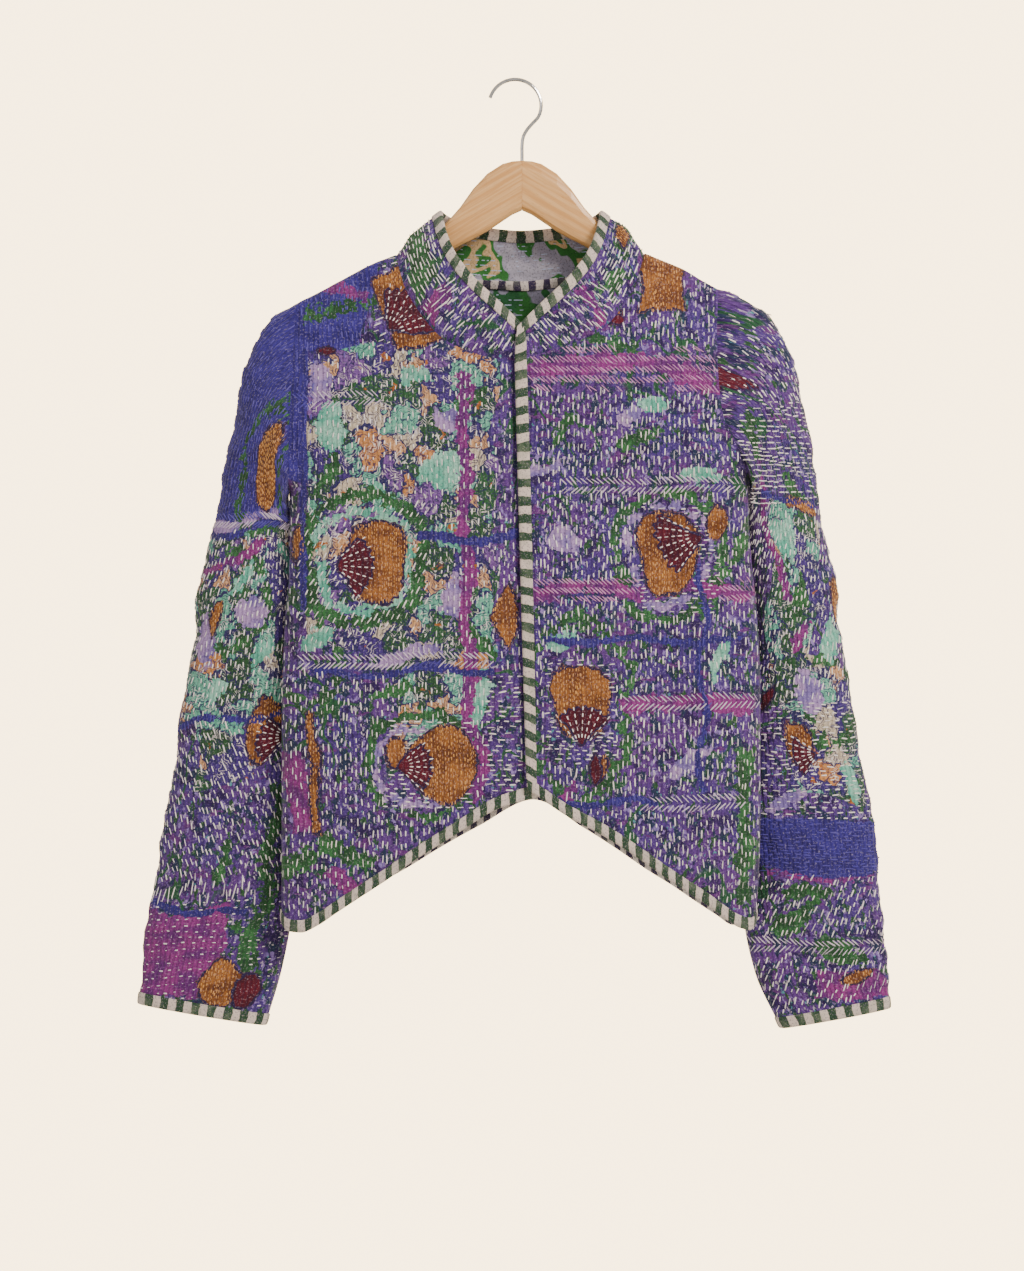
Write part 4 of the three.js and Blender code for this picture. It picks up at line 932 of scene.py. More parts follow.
@dataclass
class Sewing:
    """All the stitches of one piece of cloth, as small raised lengths of thread.

    Args:
        name: name of the piece.
        cloth: the cloth that is sewn.
        rows: ways of stitching; the first whose zone holds a place is used there.
        seed: seed of the hand's unevenness.
    """

    name: str
    cloth: Cloth
    rows: list[Stitching]
    seed: int
    width: float = 1.02
    rise: float = 0.55
    sink: float = 0.5
    seam_margin: float = 3.5
    bound_margin: float = BINDING_WIDTH + 2.5

    def candidates(self, style: Stitching, rng: np.random.Generator) -> Array:
        """Centres, directions and lengths of one way's stitches over the whole cloth.

        Args:
            style: the way of stitching.
            rng: source of the hand's unevenness.
        Returns:
            One row for each stitch: x, z, direction in radians, length.
        """
        flat = self.cloth.flat.reshape(-1, 2)
        low = np.maximum(flat.min(0), style.zone[:2])
        high = np.minimum(flat.max(0), style.zone[2:])
        if (high <= low).any():
            return np.zeros((0, 4))
        centre, half = (low + high) / 2, np.linalg.norm(high - low) / 2
        turn = radians(style.angle)
        along = np.array([cos(turn), sin(turn)])
        across = np.array([-along[1], along[0]])
        lines = int(half / style.spacing) + 1
        made = []
        for line in range(-lines, lines + 1):
            count = int(2 * half / (style.length + style.gap)) + 2
            even = style.gap < 0
            lengths = style.length * rng.uniform(*((0.9, 1.1) if even else (0.5, 1.45)), count)
            starts = np.cumsum(style.length + style.gap * rng.uniform(0.95, 1.05, count) if even
                               else lengths + style.gap * rng.uniform(0.6, 1.5, count))
            place = starts - lengths / 2 - half - rng.uniform(0, style.length)
            sway = (1.3 * np.sin(place / 41 + line * 0.5) + 0.7 * np.sin(place / 13 + line)
                    + rng.normal(0, 0.3, count))
            away = (line + 0.5 * style.zigzag) * style.spacing + sway
            spot = centre + place[:, None] * along + away[:, None] * across
            slant = style.slant * (-1 if style.zigzag and line % 2 else 1)
            bearing = turn + radians(slant) + rng.normal(0, 0.09, count)
            kept = rng.random(count) > (0 if even else 0.06)
            made.append(np.column_stack([spot, bearing, lengths])[kept])
        made = np.concatenate(made)
        return made[style.holds(made[:, 0], made[:, 1])]

    def build(self, thread: Material) -> Piece:
        """Makes the stitches on the worked skin of the cloth."""
        rng = np.random.default_rng(self.seed)
        chosen, colours = [], []
        for order, style in enumerate(self.rows):
            made = self.candidates(style, rng)
            for earlier in self.rows[:order]:
                made = made[~earlier.holds(made[:, 0], made[:, 1])]
            chosen.append(made)
            colours.append(np.full(len(made), style.thread))
        chosen, colours = self.suited(np.concatenate(chosen), np.concatenate(colours), rng)
        points, shades = self.lengths_of_thread(chosen, colours, rng)
        return self.mesh(points, shades, thread)

    def suited(self, chosen: Array, colours: Array,
               rng: np.random.Generator) -> tuple[Array, Array]:
        """Suits the thread to the print: near the cloth's own colour on plain and blue parts,
        close seed stitches on ochre, and white ones along the petals of the fans."""
        depths = dye_depths(self.cloth.marks, chosen[:, 0], chosen[:, 1])
        for dye, thread in TONAL_THREADS.items():
            colours = np.where(depths[dye] > 0, thread, colours)
        free = (depths["ochre"] < 0) & (depths["maroon"] < 0)
        seeds = self.candidates(SEED_STITCH, rng)
        depths = dye_depths(self.cloth.marks, seeds[:, 0], seeds[:, 1])
        seeds = seeds[(depths["ochre"] > 0.8) & (depths["maroon"] < -0.8)]
        fans = [mark.rays() for mark in self.cloth.marks.get("maroon", []) if mark.form is Form.FAN]
        rays = np.array(sum(fans, [])).reshape(-1, 4)
        kinds = [colours[free], np.full(len(seeds), SEED_STITCH.thread), np.zeros(len(rays))]
        return np.concatenate([chosen[free], seeds, rays]), np.concatenate(kinds)

    def lengths_of_thread(self, chosen: Array, colours: Array,
                          rng: np.random.Generator) -> tuple[Array, Array]:
        """Places each stitch on the skin, away from the bound and sewn edges.

        Args:
            chosen: x, z, direction and length of each stitch.
            colours: its thread.
            rng: source of the hand's unevenness.
        Returns:
            Ten points for each stitch, and its colour.
        """
        skin, flat = self.cloth.worked_skin(), self.cloth.flat
        spread_x, spread_z = flat_tangents(skin.points, flat)
        margins = [self.bound_margin if kind is Edge.BOUND else self.seam_margin
                   for kind in self.cloth.edges]
        room = np.min([distance - margin for distance, margin
                       in zip(self.cloth.edge_distances(), margins)], axis=0).ravel()
        tree = KDTree(room.size)
        for number, (x, z) in enumerate(flat.reshape(-1, 2).tolist()):
            tree.insert((x, z, 0.0), number)
        tree.balance()
        found = [tree.find((x, z, 0.0))[1] for x, z in chosen[:, :2].tolist()]
        nearest = np.array(found)
        offset = chosen[:, :2] - flat.reshape(-1, 2)[nearest]
        keep = (room[nearest] > 0) & (np.linalg.norm(offset, axis=1) < GRID_STEP)
        chosen, colours, nearest, offset = (a[keep] for a in (chosen, colours, nearest, offset))
        spread_x, spread_z = spread_x.reshape(-1, 3)[nearest], spread_z.reshape(-1, 3)[nearest]
        normal = unit(np.cross(spread_x, spread_z))
        given = skin.normals.reshape(-1, 3)[nearest]
        normal *= np.where(np.sum(normal * given, axis=1, keepdims=True) < 0, -1, 1)
        centre = (skin.points.reshape(-1, 3)[nearest] + spread_x * offset[:, :1]
                  + spread_z * offset[:, 1:])
        bearing = chosen[:, 2:3]
        along = unit(unit(spread_x) * np.cos(bearing) + unit(spread_z) * np.sin(bearing))
        across = np.cross(normal, along)
        reach = chosen[:, 3:4] / 2
        wide = self.width / 2 * rng.uniform(0.75, 1.3, (len(chosen), 1)) * np.minimum(1, reach / 2)
        lift = self.rise * rng.uniform(0.8, 1.2, (len(chosen), 1))
        parts = [centre - along * reach - normal * self.sink]
        for side in (-0.42, 0.42):
            ring = centre + along * reach * 2 * side * 0.8
            parts += [ring + across * wide, ring + normal * lift, ring - across * wide,
                      ring - normal * self.sink]
        parts.append(centre + along * reach - normal * self.sink)
        return np.stack(parts, axis=1), colours + rng.uniform(0.05, 0.95, len(colours))

    def mesh(self, points: Array, shades: Array,
             thread: Material) -> Piece:
        """Joins the lengths of thread into one piece with a shade for each."""
        ends = [[0, 2, 1], [0, 3, 2], [0, 4, 3], [0, 1, 4],
                [9, 5, 6], [9, 6, 7], [9, 7, 8], [9, 8, 5]]
        sides = [[1, 2, 6, 5], [2, 3, 7, 6], [3, 4, 8, 7], [4, 1, 5, 8]]
        first = np.arange(len(points))[:, None, None] * 10
        faces = ((first + np.array(ends)).reshape(-1, 3).tolist()
                 + (first + np.array(sides)).reshape(-1, 4).tolist())
        piece = mesh_piece(self.name, points.reshape(-1, 3), faces, [thread], sharp=80.0)
        add_attribute(piece, "shade", np.repeat(shades, 10))
        return piece


def flat_tangents(points: Array, flat: Array) -> tuple[Array, Array]:
    """How a point of the skin moves for each millimetre across and up the flat cloth.

    Args:
        points: columns by rows by three.
        flat: columns by rows by two.
    Returns:
        The move for a millimetre across, and for a millimetre up.
    """
    by_column, by_row = np.gradient(points, axis=0), np.gradient(points, axis=1)
    flat_column, flat_row = np.gradient(flat, axis=0), np.gradient(flat, axis=1)
    area = (flat_column[..., 0] * flat_row[..., 1] - flat_column[..., 1] * flat_row[..., 0])
    area = np.where(np.abs(area) < 1e-3, 1e-3, area)[..., None]
    spread_x = (by_column * flat_row[..., 1:] - by_row * flat_column[..., 1:]) / area
    spread_z = (by_row * flat_column[..., :1] - by_column * flat_row[..., :1]) / area
    return spread_x, spread_z


def strip_piece(name: str, node: str, points: Array, place: tuple[Array, Array],
                ends: list[list[int]], material: Material, closed: bool = False) -> Piece:
    """Args:
        name: name of the piece.
        node: the solid that it stands for.
        points: stations by points of the section by three, in millimetres.
        place: distance along to each station, and inset of each point of the section.
        ends: faces that close its ends.
        material: its material.
        closed: whether it runs all round.
    Returns:
        The piece.
    """
    stations, sides = points.shape[:2]
    index = np.arange(stations * sides).reshape(stations, sides)
    index = np.concatenate([index, index[:, :1]], axis=1)
    if closed:
        index = np.concatenate([index[:-1], index[:1]])
    faces = grid_faces(index)
    if signed_volume(points.reshape(-1, 3), faces) < 0:
        faces = faces[:, ::-1]
    piece = mesh_piece(name, points.reshape(-1, 3), faces.tolist() + ends, [material])
    add_attribute(piece, "strip", np.stack([
        np.repeat(place[0], sides), np.tile(place[1], stations), np.zeros(stations * sides)], -1))
    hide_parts(node)
    return piece


@dataclass
class Binding:
    """A striped strip folded over an edge, with rounded sides.

    Args:
        name: name of the piece.
        node: the solid that it stands for.
        rim: points on the cloth's edge.
        towards: for each, a point further in on the cloth.
        normals: the cloth's outward normals at the rim.
        closed: whether it runs all round, as on a cuff.
    """

    name: str
    node: str
    rim: Array
    towards: Array
    normals: Array
    closed: bool = False
    step: float = 2.2
    seed: int = 0
    # Section: distance in from the edge, and height over the cloth's outer skin
    section: tuple[tuple[float, float], ...] = (
        (10.0, 0.25), (9.7, 0.9), (8.9, 1.25), (6.5, 1.4), (3.5, 1.5), (1.2, 1.42), (-0.4, 1.1),
        (-1.3, 0.2), (-1.5, -0.9), (-1.3, -2.0), (-0.4, -2.9), (1.2, -3.2), (5.0, -3.2),
        (8.9, -3.05), (9.7, -2.7), (10.0, -2.05), (5.0, -1.95), (0.3, -1.9), (0.1, -0.9),
        (0.3, 0.12), (5.0, 0.15),
    )

    def build(self, material: Material) -> Piece:
        """Makes the binding, with the distance along it as an attribute."""
        rim, towards, normals = self.stations()
        inward = unit(towards - rim)
        normals = unit(normals - inward * np.sum(normals * inward, axis=-1, keepdims=True))
        length = np.concatenate([[0], np.cumsum(np.linalg.norm(np.diff(rim, axis=0), axis=1))])
        rng = np.random.default_rng(self.seed)
        pull = np.zeros_like(length)
        for wave in rng.uniform(9, 26, 10):
            pull += rng.uniform(0.03, 0.1) * np.cos(length * 2 * pi / wave + rng.uniform(0, 6))
        section = np.array(self.section)
        out = section[:, 1] + np.where(section[:, 1] > 0.5, 1, 0) * pull[:, None]
        points = (rim[:, None] + inward[:, None] * section[None, :, :1]
                  + normals[:, None] * out[..., None])
        ends = [] if self.closed else end_faces(points[0], 0, points[1]) + end_faces(
            points[-1], (len(points) - 1) * len(section), points[-2])
        return strip_piece(self.name, self.node, points, (length, section[:, 0]), ends, material,
                           self.closed)

    def stations(self) -> tuple[Array, Array, Array]:
        """The rim, its neighbours and normals at even steps."""
        spans = np.linalg.norm(np.diff(self.rim, axis=0), axis=1)
        at = np.concatenate([[0], np.cumsum(spans)])
        places = np.linspace(0, at[-1], max(3, round(at[-1] / self.step)))
        return tuple(through(at, values, places)
                     for values in (self.rim, self.towards, self.normals))


def end_faces(ring: Array, first: int, inner: Array) -> list[list[int]]:
    """Closes the end of a channel: quads between its outer and inner walls, facing out.

    Args:
        ring: points of the end's section.
        first: number of its first point.
        inner: the next section along, which the end faces away from.
    Returns:
        The faces.
    """
    pairs = [(0, 20), (1, 20), (2, 20), (3, 20), (4, 19), (5, 19), (6, 19), (7, 19), (8, 18),
             (9, 17), (10, 17), (11, 17), (12, 16), (13, 16), (14, 16), (15, 15)]
    faces = []
    for (a, b), (c, d) in zip(pairs, pairs[1:]):
        corners = list(dict.fromkeys([a, c, d, b]))
        if len(corners) > 2:
            faces.append(corners)
    normal = np.cross(ring[1] - ring[0], ring[20] - ring[0])
    if np.dot(normal, ring[0] - inner[0]) < 0:
        faces = [face[::-1] for face in faces]
    return [[first + corner for corner in face] for face in faces]


# Threads: off-white, violet, pink, lilac, blue, green and ochre
THREADS = ("#f2eff0", "#5148a6", "#c48bbd", "#cfc4da", "#41389a", "#4f8a5c", "#d39a50")
# Threads that are near the colour of the part that they lie on
TONAL_THREADS = {"plain": 1, "navy": 4}
SEED_STITCH = Stitching((-600, -900, 600, 200), thread=6, spacing=2.5, length=3.0, gap=1.5)

OVAL, RING, BAR, FAN, LEAF = Form


def printed(table: dict[str, dict[Form, list[tuple[float, ...]]]]) -> Print:
    """The marks of each dye: rows of x, z, half width, half height, turn and line by form."""
    return {dye: [Mark(form, *row) for form, rows in forms.items() for row in rows]
            for dye, forms in table.items()}


def over(*zone: float, **style: float) -> Stitching:
    """A way of stitching over a zone, from the zone's four numbers."""
    return Stitching(zone, **style)


def arrowheads(*zone: float) -> Stitching:
    """A band of slanting lilac stitches, two rows to an arrowhead."""
    return Stitching(zone, thread=3, angle=0, spacing=8, length=11, gap=-6.2, slant=-42,
                     zigzag=True)


def level_rows(*zone: float) -> Stitching:
    """Close rows that run across the cloth, round a flower."""
    return Stitching(zone, angle=0, spacing=4.4, length=5.5, gap=3.4)


FRONT_RIGHT_PRINT = printed({
    "plain": {BAR: [(-176, -190, 44, 60, -10), (-202, -300, 16, 70)]},
    "patch": {BAR: [(-105, -385, 86, 138), (-71, -569, 41, 55)]},
    "green": {BAR: [(-158, -210, 37, 5, 12), (-158, -707, 28, 7, -35)],
        RING: [(-139, -440, 54, 58, 0, 11), (-85, -626, 50, 48, 0, 8.3),
        (-200, -523, 31, 55, 20, 6.4)], LEAF: [(-172, -357, 24, 7, 60), (-34, -514, 22, 7, -50),
        (-200, -716, 28, 8, 40), (-43, -293, 20, 7, 40), (-112, -560, 22, 6, 15)]},
    "teal": {OVAL: [(-167, -321, 15, 18), (-66, -357, 20, 17), (-34, -569, 11, 24)],
        RING: [(-139, -442, 42, 46, 0, 7)], LEAF: [(-181, -514, 22, 9, 30),
        (-89, -275, 20, 8, -20)]},
    "lilac": {OVAL: [(-60, -316, 18, 11), (-181, -279, 9, 20), (-57, -477, 13, 20)],
        LEAF: [(-98, -528, 37, 7, 8)], RING: [(-87, -629, 40, 38, 0, 5.5)]},
    "magenta": {BAR: [(-170, -193, 31, 6, -10), (-46, -459, 6, 189, 1), (-35, -624, 5, 31, 6),
        (-200, -652, 11, 37, 10), (-154, -735, 28, 7, -35)]},
    "ochre": {BAR: [(-98, -207, 28, 39, 18), (-185, -633, 5, 57, 3)], OVAL: [(-127, -444, 29, 43),
        (-69, -627, 30, 40), (-108, -616, 11, 14), (-200, -426, 7, 18)],
        LEAF: [(-8, -491, 33, 11, 90)]},
    "maroon": {FAN: [(-104, -218, 30, 25, 140), (-149, -447, 34, 21, 86), (-90, -629, 30, 18, 88)],
        LEAF: [(-172, -247, 13, 6)]},
    "navy": {BAR: [(-46, -422, 48, 4, 3), (-195, -367, 3, 120), (-108, -543, 83, 3, 2)]},
})
FRONT_LEFT_PRINT = printed({
    "green": {BAR: [(76, -242, 39, 6, -6), (207, -684, 7, 74)], RING: [(139, -438, 50, 57, 0, 7.4),
        (56, -574, 46, 78, 0, 7.4)], LEAF: [(205, -426, 24, 7, 70), (113, -330, 24, 6, 20),
        (40, -321, 20, 6, 60), (122, -725, 31, 7, -35)]},
    "teal": {OVAL: [(122, -302, 13, 9), (40, -514, 13, 9)], LEAF: [(168, -367, 22, 7, 10),
        (187, -532, 20, 6, 75)]},
    "lilac": {OVAL: [(104, -313, 11, 8), (40, -422, 18, 11)], BAR: [(26, -357, 17, 5)],
        LEAF: [(159, -624, 28, 7, 30)], RING: [(139, -437, 39, 46, 0, 4.6)]},
    "magenta": {BAR: [(63, -264, 53, 8, 7), (148, -269, 37, 8, -17), (199, -291, 18, 8, -36),
        (63, -468, 51, 6), (173, -469, 46, 6), (157, -571, 63, 7)], LEAF: [(40, -661, 28, 6, 60)]},
    "ochre": {BAR: [(132, -186, 23, 28)], OVAL: [(86, -219, 13, 8), (138, -436, 29, 41),
        (58, -570, 29, 38)], LEAF: [(179, -408, 18, 12, 90), (76, -629, 13, 6, 80)]},
    "maroon": {FAN: [(148, -424, 30, 22, -72), (59, -594, 26, 20, 178)],
        LEAF: [(71, -630, 14, 6, 90), (93, -221, 8, 6)]},
    "navy": {BAR: [(168, -546, 3, 103), (113, -514, 92, 3), (76, -661, 55, 3, -3)]},
})
SLEEVE_RIGHT_PRINT = printed({
    "plain": {BAR: [(-60, -250, 260, 152)]},
    "patch": {BAR: [(-7, -500, 64, 87, 4), (-14, -610, 28, 37, 5)]},
    "green": {RING: [(6, -356, 42, 60, 0, 9), (6, -820, 36, 40, 0, 7), (24, -275, 28, 40, -20, 4.6),
        (-20, -477, 37, 46, 0, 6.4)], LEAF: [(-43, -808, 31, 8, 60), (-5, -716, 24, 7, 80)],
        BAR: [(38, -735, 7, 92, -4)]},
    "teal": {LEAF: [(-14, -459, 20, 7, 60), (17, -528, 20, 8, 60)], OVAL: [(-28, -560, 8, 13)]},
    "lilac": {BAR: [(-13, -404, 46, 5, 8)], OVAL: [(3, -486, 13, 15), (-46, -514, 11, 20)]},
    "magenta": {BAR: [(-29, -804, 39, 42, 6), (-25, -440, 37, 5, 20)]},
    "ochre": {OVAL: [(10, -358, 25, 40), (22, -597, 17, 33), (12, -828, 19, 23)],
        LEAF: [(-32, -495, 18, 7, 70)]},
    "maroon": {FAN: [(30, -604, 26, 16, -85)], OVAL: [(33, -836, 13, 18)]},
    "navy": {BAR: [(-25, -762, 46, 3, -8), (-16, -587, 55, 3, 8), (-19, -413, 52, 3, 6)]},
})
SLEEVE_LEFT_PRINT = printed({
    "plain": {BAR: [(0, -703, 260, 24, -3)]},
    "patch": {BAR: [(13, -440, 31, 55, -6), (31, -597, 37, 64, -8), (-6, -532, 24, 46, -8)]},
    "green": {LEAF: [(-20, -330, 30, 9, 60), (25, -370, 24, 8, -50), (11, -477, 28, 8, 70),
        (-20, -770, 30, 10, 30), (20, -800, 30, 10, -20)], RING: [(39, -569, 28, 40, -10, 6.4)],
        OVAL: [(0, -745, 20, 8)]},
    "teal": {OVAL: [(3, -422, 13, 20), (43, -514, 11, 18)], LEAF: [(47, -643, 20, 7, 80)]},
    "lilac": {BAR: [(-8, -233, 18, 17)], OVAL: [(14, -560, 13, 18)],
        LEAF: [(-15, -661, 24, 7, 20)]},
    "magenta": {BAR: [(-16, -422, 5, 57, 17), (10, -731, 50, 3, -3), (25, -831, 31, 13, -4)],
        LEAF: [(8, -514, 22, 7, 60)]},
    "ochre": {LEAF: [(56, -477, 24, 8, 80), (28, -822, 20, 6, 10)], OVAL: [(0, -610, 15, 24)],
        BAR: [(32, -390, 20, 7, -10)]},
    "maroon": {FAN: [(-37, -252, 20, 16, 150), (2, -264, 30, 26, -20), (4, -620, 22, 15, -80)],
        LEAF: [(-27, -569, 17, 7, 70)]},
    "navy": {BAR: [(11, -705, 53, 26, -3), (12, -385, 46, 3, -6)]},
})
STITCHING: dict[str, list[Stitching]] = {
    "front_right": [
        arrowheads(-213, -303, -126, -286),
        over(-227, -242, -130, -146, thread=1, gap=6.5, length=6),
        over(-227, -367, -192, -242, thread=1, gap=5),
        over(-130, -249, -62, -160, angle=20, spacing=5.0, length=7),
        over(-200, -518, -80, -390, angle=62, spacing=4.8),
        arrowheads(-200, -542, -16, -523),
        over(-121, -667, -40, -586, angle=0, spacing=4.4, length=5.5, gap=3.6),
        over(-30, -654, 3, -543, angle=0, spacing=4.8, length=6),
        over(-192, -514, -16, -245, angle=90, spacing=5.2, length=5.4, gap=5.2),
        over(-292, -808, 40, -109),
    ],
    "front_left": [
        over(7, -286, 224, -249, thread=2, angle=0, spacing=9, length=11, gap=-7, slant=-42),
        arrowheads(40, -381, 216, -365),
        arrowheads(95, -580, 224, -560),
        arrowheads(113, -671, 210, -652),
        level_rows(110, -492, 183, -390),
        over(12, -477, 224, -459, thread=2, angle=0, spacing=8, length=10, gap=-6,
             slant=-38),
        level_rows(26, -626, 89, -532),
        over(108, -216, 157, -157, thread=3, angle=90, spacing=5),
        over(-16, -808, 260, -109, spacing=4.4, length=7.2, gap=3.8),
    ],
    "sleeve_right": [
        over(-500, -396, 500, -146, thread=1, gap=5.5),
        arrowheads(-500, -414, 500, -396),
        over(-500, -589, 500, -414, angle=84, spacing=4.8, length=6),
        over(-500, -735, 500, -589, angle=90, slant=22, spacing=4.6),
        over(-500, -753, 500, -735, angle=90, spacing=3.6, length=12, gap=7),
        over(-500, -873, 500, -753, angle=4, spacing=6.2, length=3, gap=5),
    ],
    "sleeve_left": [
        over(-500, -293, 500, -137),
        over(-500, -390, 500, -293, angle=0, spacing=4.6),
        over(-500, -569, 500, -390, angle=75, spacing=4.8),
        over(-500, -679, 500, -569, angle=0, spacing=4.8, length=6),
        over(-500, -731, 500, -679, thread=4, angle=0, spacing=3.6, length=7, gap=2.5),
        arrowheads(-500, -805, 500, -786),
        over(-500, -873, 500, -731, angle=90, slant=-26, spacing=4.6),
    ],
    "back": [
        over(-230, -255, 230, -150, thread=1, gap=6.0),
        arrowheads(-230, -372, 230, -356),
        level_rows(-128, -505, -28, -415),
        level_rows(56, -640, 150, -545),
        arrowheads(-230, -602, 40, -586),
        over(20, -340, 200, -300, thread=2, angle=0, spacing=9, length=11, gap=-7,
             slant=-42),
        over(-230, -800, 230, -100, spacing=4.6, length=7.0, gap=4.0),
    ],
    "collar": [
        over(-300, -5, -205, 80, angle=90, slant=24, spacing=4.0, length=9, gap=3),
        over(205, -5, 300, 80, angle=90, slant=-24, spacing=4.0, length=9, gap=3),
        over(-300, -5, 300, 80, angle=0, spacing=4.1, length=9.5, gap=2.8),
    ],
}
BACK_PRINT = printed({
    "patch": {BAR: [(105, -440, 90, 75), (-120, -660, 80, 50)]},
    "green": {RING: [(-78, -460, 62, 60, 0, 9), (103, -592, 52, 66, 0, 8)],
        LEAF: [(30, -290, 34, 9, 30), (-160, -330, 30, 9, 70), (170, -690, 34, 9, 50)],
        BAR: [(-190, -620, 8, 70)]},
    "teal": {OVAL: [(90, -400, 16, 20), (-30, -640, 18, 14)], RING: [(-78, -460, 46, 44, 0, 8)],
        LEAF: [(150, -470, 26, 9, 60)]},
    "lilac": {OVAL: [(-150, -400, 16, 12), (60, -680, 14, 20)], LEAF: [(10, -520, 40, 8, 10)]},
    "magenta": {BAR: [(110, -320, 80, 9, -6), (-20, -560, 6, 140, 1), (-100, -594, 110, 8)],
        LEAF: [(-60, -250, 34, 9, 15)]},
    "ochre": {OVAL: [(-74, -462, 32, 33), (103, -595, 31, 42)], BAR: [(-120, -215, 26, 24, -12)],
        LEAF: [(0, -420, 30, 11, 85)]},
    "maroon": {FAN: [(-90, -462, 34, 24, 80), (118, -590, 34, 26, -75), (-118, -213, 20, 18, 20)],
        LEAF: [(60, -250, 16, 8, 0)]},
    "navy": {BAR: [(0, -378, 200, 3), (168, -560, 3, 110), (-60, -702, 110, 3, -4)]},
})
COLLAR_PRINT = printed({
    "green": {BAR: [(-130, 24, 62, 14), (120, 26, 40, 11)], OVAL: [(0, 20, 60, 16)],
        LEAF: [(190, 22, 26, 8, 20)]},
    "lilac": {BAR: [(60, 24, 34, 14)], OVAL: [(-60, 22, 26, 10)]},
    "ochre": {BAR: [(146, 30, 9, 10)], LEAF: [(-36, 24, 18, 8, 0)]},
    "magenta": {BAR: [(-212, 22, 10, 20, 14), (228, 24, 6, 20, -10)]},
    "maroon": {LEAF: [(88, 20, 14, 7, 0)]},
})


def linear(srgb: str) -> tuple[float, float, float, float]:
    """An sRGB hex colour as linear values, with full opacity."""
    parts = [int(srgb[i:i + 2], 16) / 255 for i in (1, 3, 5)]
    return (*(p / 12.92 if p <= 0.04045 else ((p + 0.055) / 1.055) ** 2.4 for p in parts), 1.0)


# Settings that many nodes share
RGBA = {"data_type": "RGBA"}
SMOOTH = {"interpolation_type": "SMOOTHSTEP"}
TIMES, PLUS, MINUS = ({"operation": name} for name in ("MULTIPLY", "ADD", "SUBTRACT"))


def add_node(material: Material, kind: str, links: dict | list | tuple = (),
             output: int | str = 0, **settings: object) -> Socket:
    """Adds a node to a material.

    Args:
        material: the material.
        kind: the node's type, without the ShaderNode in front.
        links: the socket or value that feeds each input, in order, or by name or number.
        output: name or number of the output wanted.
        settings: properties of the node.
    Returns:
        That output of the node.
    """
    node = material.node_tree.nodes.new("ShaderNode" + kind)
    for name, value in settings.items():
        setattr(node, name, value)
    for name, source in links.items() if isinstance(links, dict) else enumerate(links):
        if isinstance(source, Socket):
            material.node_tree.links.new(source, node.inputs[name])
        else:
            node.inputs[name].default_value = source
    return node.outputs[output]


def new_material(name: str, **surface: float) -> tuple[Material, Adder]:
    """An empty material with its shader's sockets set, and what adds its nodes."""
    material = bpy.data.materials.new(name)
    material.use_nodes = True
    for socket, value in surface.items():
        shader_input(material, socket).default_value = value
    return material, partial(add_node, material)


def shader_input(material: Material, name: str) -> Socket:
    """An input of a material's surface shader, its name written with underscores."""
    return material.node_tree.nodes["Principled BSDF"].inputs[name.replace("_", " ")]


def finish(material: Material, **ends: Socket) -> Material:
    """Links the colour, the bump or both to a material's surface shader."""
    for name, source in ends.items():
        material.node_tree.links.new(source, shader_input(material, name))
    return material


def mottle(add: Adder, where: Socket, size: float, detail: float = 2.0,
           stretch: tuple[float, float, float] = (1, 1, 1), output: int = 0,
           shift: float = 0.0) -> Socket:
    """Soft uneven patches of a real size, in the units of their coordinates.

    Args:
        add: adds nodes to the material.
        where: the coordinates.
        size: distance over which the patches change.
        detail: how many finer layers they have.
        stretch: scale of each coordinate, less than 1 for patches drawn out along it.
        output: 0 for one value, 1 for a colour of three.
        shift: moves the patches, so that two patterns of one size differ.
    Returns:
        The value or colour.
    """
    place = add("Mapping", {"Vector": where, "Scale": stretch, "Location": (shift, shift, 0)})
    return add("TexNoise", {"Vector": place, "Scale": 1 / size, "Detail": detail,
                            "Roughness": 0.6}, output)


def layered(add: Adder, ground: Socket | tuple, *layers: tuple) -> Socket:
    """Lays colours over a ground, the last on top.

    Args:
        add: adds nodes to the material.
        ground: the colour below.
        layers: for each, a field, its values where the layer starts and where it is full, how
            much it then covers, and its colour, as hex or a socket.
    Returns:
        The colour on top.
    """
    for where, start, full, cover, shade in layers:
        share = add("MapRange", [where, start, full, 0.0, float(cover)], **SMOOTH)
        over = shade if isinstance(shade, Socket) else linear(shade)
        ground = add("Mix", {0: share, 6: ground, 7: over}, 2, **RGBA)
    return ground


